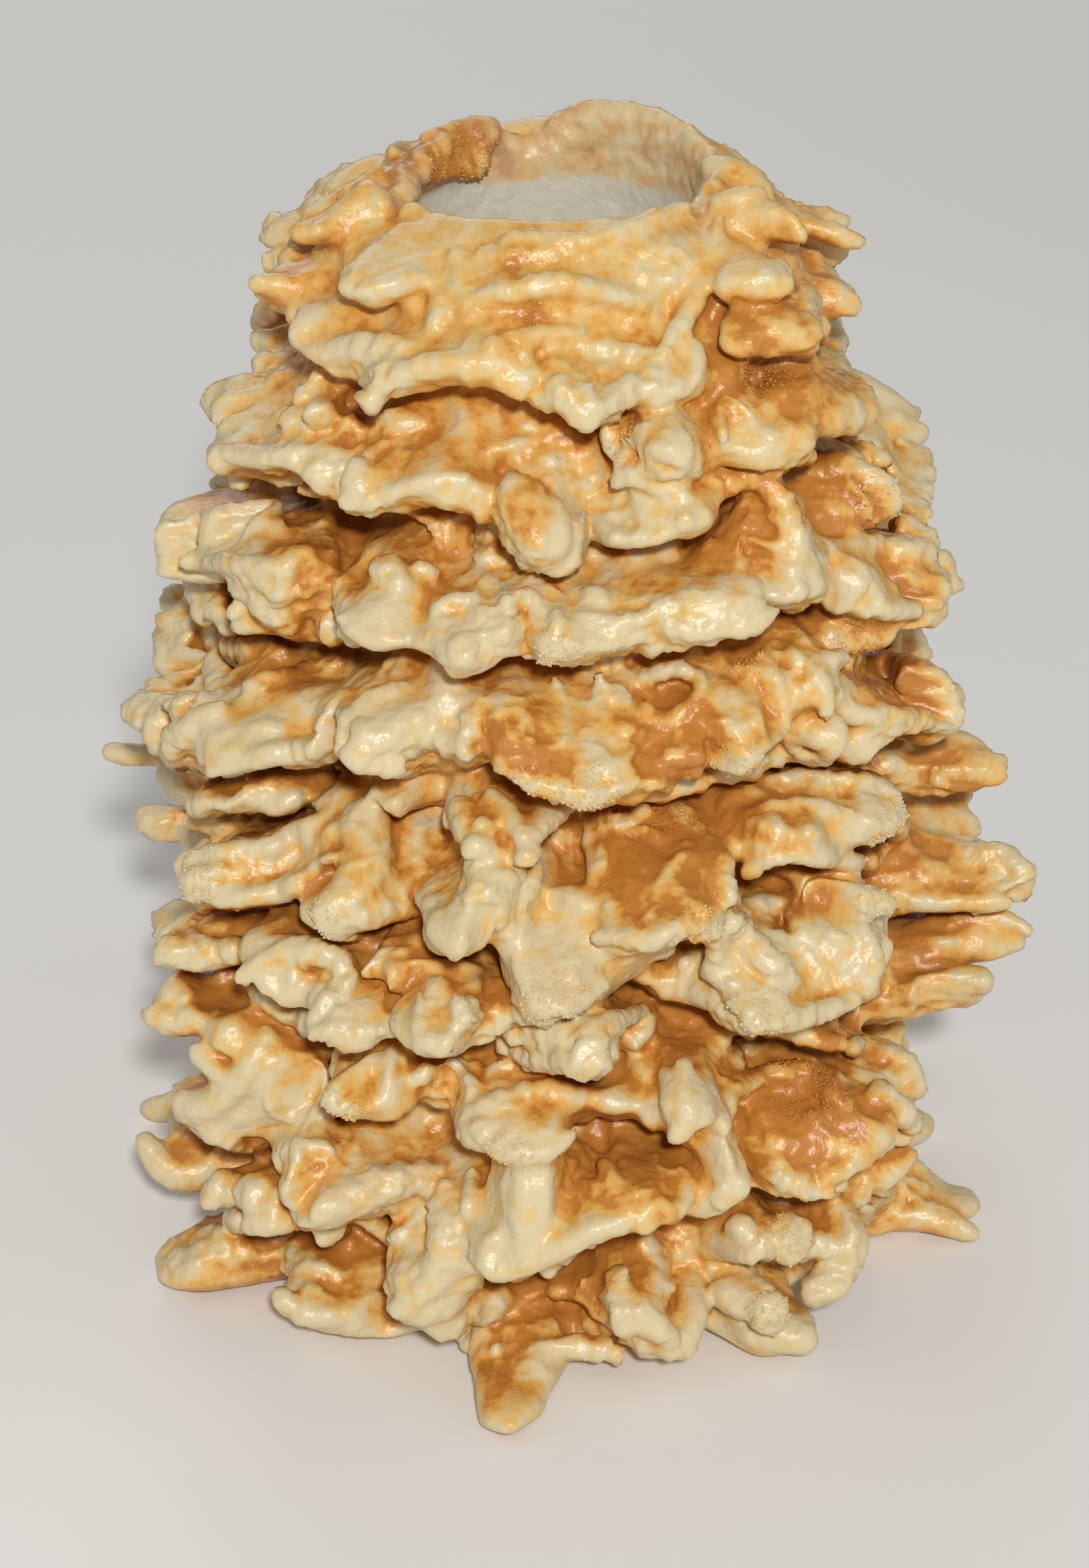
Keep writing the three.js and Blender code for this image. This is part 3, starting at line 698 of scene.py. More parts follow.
# %% Flaps, by their two lines
FLAPS_SEEN = [
    (9, 4, (634, 1300, 715, 1254, 788, 1250, 870, 1290, 975, 1330),
     (634, 1362, 670, 1389, 695, 1385, 711, 1352, 735, 1375, 740, 1409, 764, 1458, 796, 1489, 845, 1466,
      878, 1450, 943, 1401, 975, 1385)),
    (7, 3, (1045, 1330, 1100, 1305, 1160, 1300, 1230, 1310, 1285, 1340),
     (1045, 1420, 1079, 1470, 1100, 1500, 1149, 1499, 1212, 1485, 1254, 1464, 1285, 1410)),
    (8, 3, (748, 1505, 800, 1490, 860, 1480, 950, 1465),
     (748, 1535, 780, 1553, 816, 1547, 845, 1551, 874, 1574, 890, 1552, 950, 1510)),
    (6, 5, (1075, 1605, 1110, 1570, 1160, 1550, 1230, 1545, 1300, 1590),
     (1075, 1640, 1090, 1672, 1110, 1700, 1160, 1735, 1215, 1745, 1250, 1705, 1300, 1660)),
    (4, 2, (590, 1760, 640, 1745, 690, 1760), (590, 1925, 625, 1935, 660, 1915, 690, 1880)),
    (5, 0, (695, 1700, 780, 1690, 850, 1690, 930, 1700),
     (695, 1840, 720, 1868, 770, 1855, 815, 1840, 870, 1806, 930, 1790)),
    (9, 0, (765, 1692, 850, 1690, 960, 1700), (765, 1850, 815, 1836, 870, 1804, 960, 1786)),
    (3, 2, (985, 1525, 1010, 1530, 1035, 1530, 1060, 1540, 1080, 1570),
     (985, 1640, 1005, 1665, 1030, 1690, 1050, 1750, 1080, 1735)),
    (4, 6, (1207, 812, 1233, 795, 1287, 790, 1333, 803, 1380, 830),
     (1207, 878, 1267, 898, 1320, 914, 1360, 902, 1380, 885)),
    (4, 5, (1220, 975, 1253, 966, 1307, 975, 1360, 1002, 1395, 1027),
     (1220, 1046, 1240, 1050, 1293, 1058, 1347, 1048, 1395, 1056)),
    (3, 2, (1030, 807, 1067, 729, 1113, 699, 1153, 735, 1196, 807),
     (1030, 833, 1067, 840, 1133, 871, 1167, 880, 1196, 858)),
    (4, 6, (247, 765, 281, 740, 328, 729, 382, 734, 449, 740, 483, 757),
     (247, 830, 315, 838, 375, 848, 402, 866, 449, 858, 483, 852)),
    (6, 5, (254, 1080, 315, 1033, 382, 1006, 449, 1000, 503, 1010),
     (254, 1110, 304, 1130, 348, 1130, 436, 1114, 496, 1094, 503, 1085)),
    (5, 4, (503, 1033, 543, 995, 597, 965, 651, 968, 711, 993),
     (503, 1098, 530, 1121, 557, 1118, 584, 1130, 617, 1118, 678, 1116, 711, 1110)),
    (6, 5, (284, 1262, 335, 1228, 402, 1212, 463, 1192, 503, 1187),
     (284, 1306, 330, 1320, 390, 1311, 430, 1303, 470, 1288, 503, 1273)),
    (5, 4, (318, 663, 362, 623, 415, 617, 489, 636), (318, 680, 348, 690, 402, 700, 449, 704, 489, 708)),
    (6, 3, (270, 1600, 330, 1570, 370, 1530, 430, 1530, 470, 1580),
     (270, 1630, 300, 1660, 350, 1672, 395, 1690, 440, 1710, 470, 1690)),
    (5, 2, (440, 1700, 520, 1665, 600, 1660, 680, 1690),
     (440, 1788, 480, 1795, 540, 1775, 590, 1760, 640, 1750, 680, 1730)),
    (6, 1, (600, 1425, 645, 1420, 690, 1425), (600, 1500, 630, 1533, 665, 1531, 690, 1495)),
    (5, 2, (600, 238, 640, 215, 690, 198, 715, 200),
     (600, 276, 618, 264, 640, 258, 660, 252, 676, 250, 700, 252, 715, 230)),
    (9, 3, (1060, 395, 1100, 390, 1149, 400), (1060, 425, 1100, 440, 1149, 425)),
    (10, 3, (1072, 455, 1120, 455, 1187, 470), (1072, 500, 1130, 515, 1187, 505)),
    (10, 3, (1130, 560, 1200, 555, 1264, 575), (1130, 610, 1190, 625, 1264, 610)),
    (8, 3, (900, 605, 1000, 610, 1080, 600, 1180, 600),
     (900, 650, 950, 690, 1000, 690, 1060, 665, 1120, 680, 1180, 665)),
    (4, 4, (870, 1190, 930, 1180, 1000, 1180, 1060, 1230),
     (870, 1375, 915, 1376, 952, 1384, 986, 1362, 1040, 1356, 1060, 1335)),
    (3, 4, (700, 985, 780, 985, 860, 985, 940, 975, 1040, 970, 1130, 960),
     (700, 1100, 738, 1118, 788, 1152, 868, 1174, 918, 1148, 1000, 1128, 1065, 1125, 1091, 1118, 1130, 1080)),
    (2, 3, (510, 860, 570, 835, 640, 850, 720, 850, 800, 850, 900, 850, 1000, 840, 1100, 830),
     (510, 905, 560, 945, 640, 940, 680, 972, 740, 940, 825, 965, 935, 938, 1046, 932, 1100, 912)),
]
print(len(FLAPS_SEEN), "flaps")

# %% Hang the flaps
FLAP_STEP = 10
FLAP_ROWS = 20
FLAP_RADIUS = 0.0034
FLAP_ROOT = 0.0030
FLAP_BRIDGE = 0.03
BACK_FLAPS_FROM = 700
hang = np.linspace(0, 1, FLAP_ROWS)
flap_middles = []
for turn in (0, 180):
    for lift, swell, top, lip in FLAPS_SEEN:
        if turn and top[1] < BACK_FLAPS_FROM:
            continue
        top = np.reshape(top, (-1, 2)).T
        lip = np.reshape(lip, (-1, 2)).T
        columns = np.arange(top[0][0], top[0][-1] + 1, FLAP_STEP)
        sights = [
            [sight(x, y, turn) for y in np.linspace(np.interp(x, *top), np.interp(x, *lip), FLAP_ROWS)]
            for x in columns
        ]
        depth = np.full((len(columns), FLAP_ROWS), np.nan)
        for column, thread in enumerate(sights):
            for row, (eye, way) in enumerate(thread):
                hit, place, normal, face = crust.ray_cast(eye, way)
                if hit:
                    depth[column, row] = (place - eye).length
        depth = np.where(np.isnan(depth), np.nanmedian(depth), depth)
        depth = softened(np.array([taut(thread, FLAP_BRIDGE) for thread in depth]), 4)
        depth += FLAP_ROOT * (1 - hang) - lift / 1000 * hang - swell / 1000 * np.sin(np.pi * hang)
        for thread, line in zip(sights, depth):
            flap_middles += [np.array(eye + way * far) for (eye, way), far in zip(thread, line)]
flap_corners = [coarse_points * FLAP_RADIUS + middle for middle in flap_middles]
flap_sides = [coarse_faces + number * len(coarse_points) for number in range(len(flap_middles))]
fuse(new_piece("flaps", flap_corners, flap_sides), FIRST_VOXEL)
bpy.context.view_layer.update()
print("front and back, the flaps take", len(flap_middles), "balls")

# %% [markdown]
# ## Hollows and runs
#
# Behind many lips the batter has sunk into an oval hollow with a soft raised edge, and over the slopes lie
# runs, drops that slid down and set. Both are ovals laid along the way the batter flows, outwards and down: a
# hollow pushes the skin in and a run pulls it out. They are scattered by a seeded draw with a least spacing.
# Those that are plain to see at the front are placed one by one, by the point of the picture where they show.

# %% Choose the hollows and runs
HOLLOWS_BEHIND = 90
HOLLOW_SPACING = 0.021
RUNS = 420
RUN_SPACING = 0.011
points = points_of(crust)
normals = normals_of(crust)
edges = edges_of(crust)
bulge = bulge_of(points, normals, edges, 25)
azimuth, distance, height = around_axis(points)
slope = (normals[:, 2] > 0.2) & (distance > 0.068) & (height > 0.012)
skin_tree = kdtree.KDTree(len(points))
for number, point in enumerate(points):
    skin_tree.insert(point, number)
skin_tree.balance()
hollows = []
for x, y, half_width, half_length, depth in HOLLOWS_SEEN:
    place = seen_at(x, y)
    if place is not None:
        normal = normals[skin_tree.find(place)[1]]
        hollows.append((place, normal, half_width / 1000, half_length / 1000, depth / 1000))
behind = np.abs(azimuth) > 70
sunken = np.flatnonzero(slope & behind & (bulge < 0.0006))
for pick in scatter(sunken, HOLLOWS_BEHIND, HOLLOW_SPACING):
    half_width = draw.uniform(0.0035, 0.0075)
    hollows.append((points[pick], normals[pick], half_width, half_width * draw.uniform(1.1, 2.2),
                    half_width * draw.uniform(0.3, 0.6)))
runs = []
for pick in scatter(np.flatnonzero(slope), RUNS, RUN_SPACING):
    half_width = draw.uniform(0.0016, 0.0034)
    runs.append((points[pick], normals[pick], half_width, half_width * draw.uniform(1.2, 4.0),
                 half_width * draw.uniform(0.5, 0.85)))
print(len(hollows), "hollows and", len(runs), "runs")

# %% Press the hollows and gaps and raise the runs
GAP_WIDEN = 1.3
GAP_DEEPEN = 1.4
shift = np.zeros(len(points))
for mark in hollows:
    near, out = oval(points, mark)
    shift[near] -= mark[4] * (np.clip(1 - out**2, 0, 1) ** 1.5 - 0.2 * np.exp(-(((out - 1.15) / 0.28) ** 2)))
for mark in runs:
    near, out = oval(points, mark)
    shift[near] = np.maximum(shift[near], mark[4] * np.sqrt(np.clip(1 - out**2, 0, 1)) + 0.4 * shift[near])
lumps = noise_at(points, 0.016, 21.0)
laid_out = stretched(points, 0.34)
wander = noise_vectors(laid_out, 0.024, 31.0, 17)
web = ridges(laid_out + 0.010 * wander, 0.0150, 61.0, 2.1)
fine_web = ridges(laid_out + 0.005 * wander, 0.0070, 91.0, 2.1)
strength = np.clip(0.75 + 1.1 * noise_at(points, 0.045, 7.7), 0.15, 1.5)
folds = noise_at(stretched(points, 0.3) * [0.14, 0.14, 1], 0.0068, 8.9)
collar = above(height, 0.325, 0.02) * below(distance, 0.098, 0.02)
relief = shift + 0.0010 * lumps + strength * (0.0022 * web + 0.0010 * fine_web - 0.0010)
relief = relief * (1 - 0.75 * collar) + 0.0016 * folds * collar
points += normals * (relief * freedom(points))[:, None]
gap_depth = np.zeros(len(points))
gap_places = []
for half_width, depth, *path in GAPS_SEEN:
    half_width, depth = GAP_WIDEN * half_width / 1000, GAP_DEEPEN * depth / 1000
    places = traced((half_width, *path), 0)[0]
    gap_places += [(place, half_width, depth) for place in places[::4]]
    for place in places[::2]:
        away = np.linalg.norm(points - place, axis=1) / half_width
        gap_depth = np.maximum(gap_depth, depth * np.clip(1 - away**2, 0, 1))
points[:, 0] -= (points[:, 0] - AXIS_X) / distance * gap_depth * freedom(points)
points[:, 1] -= (points[:, 1] - AXIS_Y) / distance * gap_depth * freedom(points)
place_points(crust, points)
print("relief from", round(relief.min() * 1000, 1), "to", round(relief.max() * 1000, 1), "mm")

# %% [markdown]
# ## Ropes and knobs
#
# Batter that ran over the skin set in ropes, and drops that reached an edge set there as knobs. A rope is
# a row of knobs along its path, half sunk in the skin. The ropes and beads of the front are laid on the
# back too, turned by half a turn. A frill of knobs runs round the rim, and more are drawn at random for the
# lips at the back. A second remesh fuses all of them, with a small fillet round each.

# %% Lay the ropes and beads
bpy.context.view_layer.update()
normals = normals_of(crust)
bulge = bulge_of(points, normals, edges, 25)
azimuth, distance, height = around_axis(points)
BORE_CLEAR = 0.0475
COLLAR_FROM = 0.31
ROPE_SIZE = 0.85
BEAD_SIZE = 0.9
knob_corners = []
knob_sides = []


def add_knob(middle, axes):
    """One more knob, stretched along three axes."""
    start = len(knob_corners) * len(knob_points)
    knob_corners.append(knob_points @ np.asarray(axes) + middle)
    knob_sides.append(knob_faces + start)


def in_bore(place):
    """Whether a place lies in the bore, which the spit kept clear."""
    return math.hypot(place[0] - AXIS_X, place[1] - AXIS_Y) < BORE_CLEAR


for turn in (0, 180):
    for row in ROPES_SEEN:
        path = traced(row, turn)
        if path is None:
            continue
        places, ways, bridged = path
        share = np.linspace(0, 1, len(places))
        waver = noise_at(places, 0.012, 5.5)
        tapered = 0.6 + 0.4 * np.sqrt(np.sin(np.pi * share))
        radius = ROPE_SIZE * row[0] / 1000 * tapered * (1 + 0.25 * waver)
        for k in range(0, len(places), max(1, round(0.25 * row[0]))):
            on_collar = places[k][2] > COLLAR_FROM
            thin_fold = on_collar and row[0] < 4
            size = radius[k] * (1.4 if thin_fold else 1)
            sink = 0.05 if thin_fold else 0.75 if on_collar else 0.45 if row[0] < 5 else 0.6
            for step in range(1 + int(bridged[k] / size)):
                middle = places[k] + ways[k] * (sink + step) * size
                if not in_bore(middle):
                    add_knob(middle, np.eye(3) * size * (1 + 0.06 * step))
    for x, y, radius in BEADS_SEEN:
        place = seen_at(x, y, turn)
        if place is not None and not in_bore(place):
            add_knob(place, np.eye(3) * BEAD_SIZE * radius / 1000)
print(len(knob_corners), "knobs in ropes and beads")

# %% Run a frill round the rim
RIM_WITHIN = 0.068
rim_azimuths = [*np.arange(-178, -55, 2), *np.arange(60, 182, 2)]
for turned_by in rim_azimuths:
    edge_points = np.flatnonzero((np.abs(azimuth - turned_by) < 3) & (distance < RIM_WITHIN))
    pick = edge_points[np.argmax(height[edge_points])]
    thick = np.clip((165 + turned_by) / 45, 0, 1) if turned_by < 0 else 0
    radius = (0.0024 + 0.0016 * thick) * (1 + 0.5 * noise.noise((turned_by / 9, 3.3, 0.5)))
    outward = np.array([points[pick][0] - AXIS_X, points[pick][1] - AXIS_Y, 0]) / distance[pick]
    sway = 0.0025 * noise.noise((turned_by / 12, 8.1, 0.2))
    lean = -0.003 if -160 < turned_by < -60 else 0.001
    add_knob(points[pick] + outward * (lean + sway) - [0, 0, 0.3 * radius], np.eye(3) * radius)
print(len(rim_azimuths), "knobs round the rim")

# %% Set knobs on the lips at the back and fuse all of them
KNOBS_BEHIND = 90
KNOB_SPACING = 0.016
on_lips = (bulge > 0.0011) & (distance > 0.07) & (height > 0.012) & (np.abs(azimuth) > 60)
for pick in scatter(np.flatnonzero(on_lips), KNOBS_BEHIND, KNOB_SPACING):
    radius = draw.uniform(0.0020, 0.0032) if draw.random() < 0.75 else draw.uniform(0.0032, 0.0046)
    middle = points[pick] + normals[pick] * radius * draw.uniform(-0.2, 0.35)
    across, along = flow_at(points[pick], normals[pick])
    axes = np.stack([across * draw.uniform(0.85, 1.3), along * draw.uniform(1, 2.2), normals[pick]])
    add_knob(middle, axes * radius)
fuse(new_piece("knobs", knob_corners, knob_sides), FINE_VOXEL)
print(len(knob_corners), "knobs; the fused skin has", len(crust.data.vertices), "points")

# %% Drop anything that hangs free
only(crust)
bpy.ops.mesh.separate(type="LOOSE")
parts = list(bpy.context.selected_objects)
crust = max(parts, key=lambda part: len(part.data.vertices))
for part in parts:
    if part is not crust:
        bpy.data.objects.remove(part)
crust.name = "cake_crust"
print("dropped", len(parts) - 1, "loose bits")

# %% [markdown]
# ## Notches
#
# A lip is never an even edge: between two drips the batter stopped short. A boolean could cut such a
# notch, but it leaves hard walls. Here the skin is pushed in towards the axis, most in the middle, which
# leaves a soft bay.

# %% Cut notches into the lips
NOTCHES_BEHIND = 130
NOTCH_SPACING = 0.026
NOTCH_REACH = 0.026
points = points_of(crust)
azimuth, distance, height = around_axis(points)
notches = []
for x, y, half_width, depth in NOTCHES_SEEN:
    place = seen_at(x, y)
    if place is not None:
        notches.append((place, half_width / 1000, depth / 1000))
outermost = np.interp(height, [0, 0.18, 0.30, 0.345], [0.130, 0.120, 0.095, 0.085])
on_ends = (np.abs(azimuth) > 62) & (distance > outermost) & (height > 0.02)
for pick in scatter(np.flatnonzero(on_ends), NOTCHES_BEHIND, NOTCH_SPACING):
    notches.append((points[pick], draw.uniform(0.004, 0.008), draw.uniform(0.006, 0.014)))
cut_in = np.zeros(len(points))
for place, half_width, depth in notches:
    outward = np.array([place[0] - AXIS_X, place[1] - AXIS_Y, 0])
    outward /= np.linalg.norm(outward)
    near = np.flatnonzero(np.all(np.abs(points - place) < NOTCH_REACH, axis=1))
    offset = points[near] - place
    aside = np.clip(1 - ((offset @ [-outward[1], outward[0], 0]) / half_width) ** 2, 0, 1)
    level = np.clip(1 - (offset[:, 2] / 0.011) ** 2, 0, 1)
    reach = distance[near][aside * level > 0.2].max(initial=0)
    outer = above(distance[near] - reach, -0.022, 0.018)
    cut_in[near] = np.maximum(cut_in[near], depth * aside**1.3 * level**0.7 * outer)
cut_in *= freedom(points)
points[:, 0] -= (points[:, 0] - AXIS_X) / distance * cut_in
points[:, 1] -= (points[:, 1] - AXIS_Y) / distance * cut_in
place_points(crust, points)
print(len(notches), "notches")

# %% [markdown]
# ## Draw the skin tight
#
# Wet batter hangs from ridge to ridge like a cloth, so the valleys are shallow and the ridges narrow.
# Smoothing would flatten both. Here a point moves outwards only, towards the middle of its neighbours, so
# that valleys fill while ridges keep their height. Hollows and gaps are left as they are.

# %% Draw the skin tight between the ridges
FILL_ROUNDS = 2
PULLS_EACH = 4
points = points_of(crust)
edges = edges_of(crust)
free = freedom(points)
azimuth, distance, height = around_axis(points)
collar = above(height, 0.315, 0.02) * below(distance, 0.098, 0.02)
sunk = np.zeros(len(points))
for mark in hollows:
    near, out = oval(points, mark)
    sunk[near] = np.maximum(sunk[near], np.clip(1.25 - out, 0, 1) * min(1, mark[4] / 0.003))
for place, half_width, depth in gap_places:
    near = np.flatnonzero(np.all(np.abs(points - place) < half_width + depth, axis=1))
    inwards = np.array([AXIS_X - place[0], AXIS_Y - place[1], 0])
    inwards /= np.linalg.norm(inwards)
    offset = points[near] - place
    along = offset @ inwards
    across = np.sqrt(np.clip(np.sum(offset**2, axis=1) - along**2, 0, None))
    within = np.clip(1.4 - across / half_width, 0, 1) * np.clip((along + half_width) / half_width, 0, 1)
    sunk[near] = np.maximum(sunk[near], within)
for _ in range(FILL_ROUNDS):
    normals = normals_of(crust)
    for _ in range(PULLS_EACH):
        towards = 2 * np.sum((relaxed(points, edges, 1) - points) * normals, axis=1)
        pull = 0.9 * np.clip(towards, 0, None) * (1 - 0.8 * sunk) * (1 - 0.7 * collar)
        pull += 0.06 * np.clip(towards, None, 0)
        points += normals * (pull * free)[:, None]
    place_points(crust, points)
print("drawn tight in", PULLS_EACH * FILL_ROUNDS, "rounds")

# %% [markdown]
# ## Roughen the skin
#
# Close up the crust is wrinkled along the flow, dotted with small drops, and grainy where it broke. It is
# deep enough to show at the outline, so it is real relief and not a bump in the material: ridged noise
# for the wrinkles, rounded cells for the drops and fine noise for the grain.

# %% Find the broken ends, the rim and the bore's crumb
CRUMB_LINE_SEEN = ((744, 248), (810, 270), (900, 262), (1007, 250))
normals = normals_of(crust)
azimuth, distance, height = around_axis(points)
crumbly = np.zeros(len(points))
for x, y, radius in CRUMBLY_SEEN:
    place = seen_at(x, y)
    if place is not None:
        away = np.linalg.norm(points - place, axis=1) / (radius / 1000)
        crumbly = np.maximum(crumbly, np.clip(1.4 - away, 0, 1))
rim = above(height, 0.343, 0.012) * below(distance, 0.062, 0.006)
rim *= above(np.abs(azimuth), 45, 30)
inward = inwardness(points, normals)
rim *= np.clip(1.2 - 2 * np.clip(inward, 0, 1), 0, 1)
crumbly = np.maximum(crumbly, 0.6 * rim)
inner = below(distance, 0.060, 0.008) * above(height, 0.30, 0.03)
crumb_line = np.mean([seen_at(x, y)[2] for x, y in CRUMB_LINE_SEEN])
porous = inner * np.clip(inward, 0, 1) * above(height, crumb_line, 0.004)
print("the bore is crumbly above", round(crumb_line * 1000), "mm")

# %% Roughen the skin and sharpen the rims of the lips
LIP_GAIN = 0.5
DROP_SPACING = 0.0088
push = np.clip(LIP_GAIN * bulge_of(points, normals, edges, 24), -0.0020, 0.0012) * free
wander = noise_vectors(points, 0.014, 31.0, 17)
wrinkles = ridges(stretched(points, 0.4) + 0.005 * wander, 0.0085, 51.0, 2.2)
fine_wrinkles = ridges(points + 0.003 * wander, 0.0045, 55.0, 2.2)
drops = np.zeros(len(points))
for number, point in enumerate(points / DROP_SPACING + 17.3):
    gaps, middles = noise.voronoi(point)
    size = 0.17 + 0.09 * noise.noise(middles[0] * 3.1)
    if gaps[0] < size:
        drops[number] = DROP_SPACING * math.sqrt(size**2 - gaps[0] ** 2)
grain = noise_at(points, 0.0052, 2.2)
fine_grain = noise_at(points, 0.0027, 9.4)
patchy = np.clip(0.7 + 1.2 * noise_at(points, 0.03, 4.1), 0.2, 1.5)
rough = patchy * above(height, 0.004, 0.006) * np.maximum(free, 0.8 * inner)
rough = np.maximum(np.maximum(rough, 2.6 * crumbly), 2.4 * porous)
push += rough * (0.00050 * grain + 0.00026 * fine_grain)
push += 0.75 * drops * free * np.clip(4 * noise_at(points, 0.038, 13.1), 0, 1) * (1 - crumbly)
push += free * patchy * (0.0014 * wrinkles + 0.0009 * fine_wrinkles - 0.0007) * (1 - 0.6 * collar)
points += normals * push[:, None]
place_points(crust, points)
print("pushed from", round(push.min() * 1000, 1), "to", round(push.max() * 1000, 1), "mm")

# %% [markdown]
# ## How brown each place is
#
# Some of the colour is the bake and some is painted shade. Lips and ridges stay pale and shiny. The hollows
# between the tiers, where little sky is seen, the creases, the undersides and the sunken hollows and gaps are
# made caramel as painted shade, and the deepest gaps at the sides get a darker painted shade still. Noise
# patches and streaks, the rim and the collar give the bake's own colour. All of that can be read off the
# shape, so it is worked out once and kept on the skin as attributes that the material reads. Brown and pale
# places that are plain to see at the front are added one by one.

# %% Measure the shape again
SKY_RAYS = 12
SKY_REACH = 0.045
RAY_START = 0.0009
normals = normals_of(crust)
azimuth, distance, height = around_axis(points)
bulge = bulge_of(points, normals, edges, 40)
fine_bulge = bulge_of(points, normals, edges, 8)
inward = inwardness(points, normals)
bore = np.clip(inward * 2 - 0.3, 0, 1) * below(distance, 0.058, 0.006)
tree = BVHTree.FromObject(crust, bpy.context.evaluated_depsgraph_get())
open_sky = np.zeros(len(points))
rays_cast = np.full(len(points), 1e-6)
starts = points + normals * RAY_START
for k in range(SKY_RAYS):
    lift = 1 - (2 * k + 1) / SKY_RAYS
    around = math.pi * (3 - math.sqrt(5)) * k
    flat = math.sqrt(1 - lift * lift)
    ray = np.array([flat * math.cos(around), flat * math.sin(around), lift])
    facing = normals @ ray
    way = Vector(ray)
    for number in np.flatnonzero(facing > 0.2):
        rays_cast[number] += facing[number]
        if tree.ray_cast(starts[number], way, SKY_REACH)[0] is None:
            open_sky[number] += facing[number]
closed = relaxed((1 - open_sky / rays_cast)[:, None], edges, 5)[:, 0]
print("closed in from", round(float(closed.min()), 2), "to", round(float(closed.max()), 2))

# %% Brown and pale places
BROWN_SEEN = [
    (660, 231, 18, 0.3), (560, 245, 14, 0.3), (480, 290, 14, 0.3), (620, 215, 12, 0.25),
    (700, 205, 12, 0.4), (745, 225, 10, 0.4), (950, 1740, 16, 0.7), (900, 1690, 14, 0.6),
    (1195, 1620, 24, 0.7), (546, 281, 16, 0.3), (744, 397, 12, 0.4), (1092, 480, 12, 0.6),
    (1075, 546, 12, 0.5), (1174, 595, 14, 0.4), (1232, 645, 14, 0.3), (1025, 653, 12, 0.4),
    (703, 761, 15, 0.5), (768, 775, 13, 0.7), (720, 2050, 14, 0.7), (1092, 777, 16, 0.6),
    (1257, 761, 14, 0.3), (1323, 850, 14, 0.6), (413, 959, 14, 0.5), (628, 877, 10, 0.4),
    (744, 1075, 16, 0.6), (800, 1120, 14, 0.4), (926, 1025, 16, 0.4), (1030, 1058, 18, 0.45),
    (1025, 1125, 14, 0.6), (1307, 1030, 16, 0.55), (364, 1042, 12, 0.4), (728, 1191, 14, 0.6),
    (992, 1224, 18, 0.6), (1080, 1190, 16, 0.5), (1190, 1230, 14, 0.5), (926, 1273, 14, 0.5),
    (992, 1323, 16, 0.6), (1406, 1141, 14, 0.6), (1406, 1307, 12, 0.4), (496, 1273, 14, 0.5),
    (380, 1307, 12, 0.4), (562, 1373, 14, 0.6), (711, 1455, 14, 0.5), (926, 1455, 16, 0.5),
    (992, 1500, 16, 0.6), (1191, 1588, 20, 0.6), (1158, 1654, 14, 0.5), (794, 1588, 12, 0.4),
    (893, 1637, 14, 0.6), (843, 1720, 14, 0.4), (546, 1637, 12, 0.5), (513, 1803, 14, 0.6),
    (331, 1555, 10, 0.5), (810, 1885, 20, 0.6), (926, 1869, 14, 0.5), (1141, 1885, 14, 0.4),
    (761, 2090, 18, 0.7), (281, 1885, 14, 0.4), (413, 1869, 14, 0.4), (1323, 1720, 16, 0.6),
    (1190, 1335, 12, 0.4), (1145, 1350, 11, 0.4), (760, 1110, 12, 0.5), (960, 1132, 14, 0.6),
    (1000, 1100, 16, 0.4), (832, 1148, 10, 0.3),
]
PALE_SEEN = [
    (331, 777, 26, 0.5), (661, 695, 16, 0.4), (860, 992, 16, 0.5), (695, 1300, 20, 0.5),
    (380, 1240, 20, 0.5), (1158, 1340, 18, 0.4), (265, 1389, 20, 0.5), (463, 1455, 16, 0.3),
    (331, 1621, 20, 0.5), (579, 1753, 20, 0.5), (777, 1770, 16, 0.5), (628, 1885, 16, 0.4),
    (1025, 1604, 10, 0.5), (540, 1050, 18, 0.4), (900, 840, 16, 0.3), (545, 1240, 16, 0.5),
    (790, 1400, 14, 0.4), (830, 1520, 12, 0.3),
]
print(len(BROWN_SEEN), "brown and", len(PALE_SEEN), "pale places")

# %% Work out the browning and the painted shade
FRILL_SEEN = (660, 231)
RAMP_SHIFT = 0.3
patches = noise_at(points, 0.045, 71.0)
streaks = noise_at(stretched(points, 0.3), 0.011, 15.0)
underside = np.clip(-normals[:, 2] - 0.2, 0, 1)
# Bake and painted shade in one value: closed-in hollows, undersides, sunken hollows and gaps, creases and the
# closed-in sides are made browner as painted shade; patches, streaks, rim and collar are the bake's own
# colour.
browning = 0.02 + 0.26 * closed + 0.44 * closed**3 + 0.25 * underside + 0.20 * sunk
browning += 0.30 * patches + 0.18 * streaks - 110 * np.clip(bulge, -0.0012, 0.0014) + 0.08 * rim
browning -= 170 * np.clip(fine_bulge, -0.0006, 0.0006)
browning += 0.14 * collar + 0.16 * inner * np.clip(inward, 0, 1)
browning += 0.55 * closed * above(np.abs(azimuth), 35, 30) + 0.10 * above(azimuth, 25, 40)
bore *= below(height, crumb_line + 0.004 * noise_at(points, 0.012, 6.6), 0.003)
shoulder = above(height, 0.292, 0.014) * below(distance, 0.115, 0.01)
browning += shoulder * (0.10 + 75 * np.clip(bulge, 0, 0.0014)) * (1 - collar)
browning += 0.05 * below(height, 0.20, 0.1)
collar_mean = browning[collar > 0.5].mean()
browning += 0.5 * collar * (collar_mean - 0.12 - browning)
fleck = np.clip(0.8 + 1.1 * noise_at(stretched(points, 0.4), 0.008, 23.0), 0.15, 1.5)
frill = np.linalg.norm(points - seen_at(*FRILL_SEEN), axis=1)
mealy = inner * np.clip(2 * inward - 0.3, 0, 1) * above(frill, 0.012, 0.01)
bore = np.maximum(bore, 0.3 * mealy)
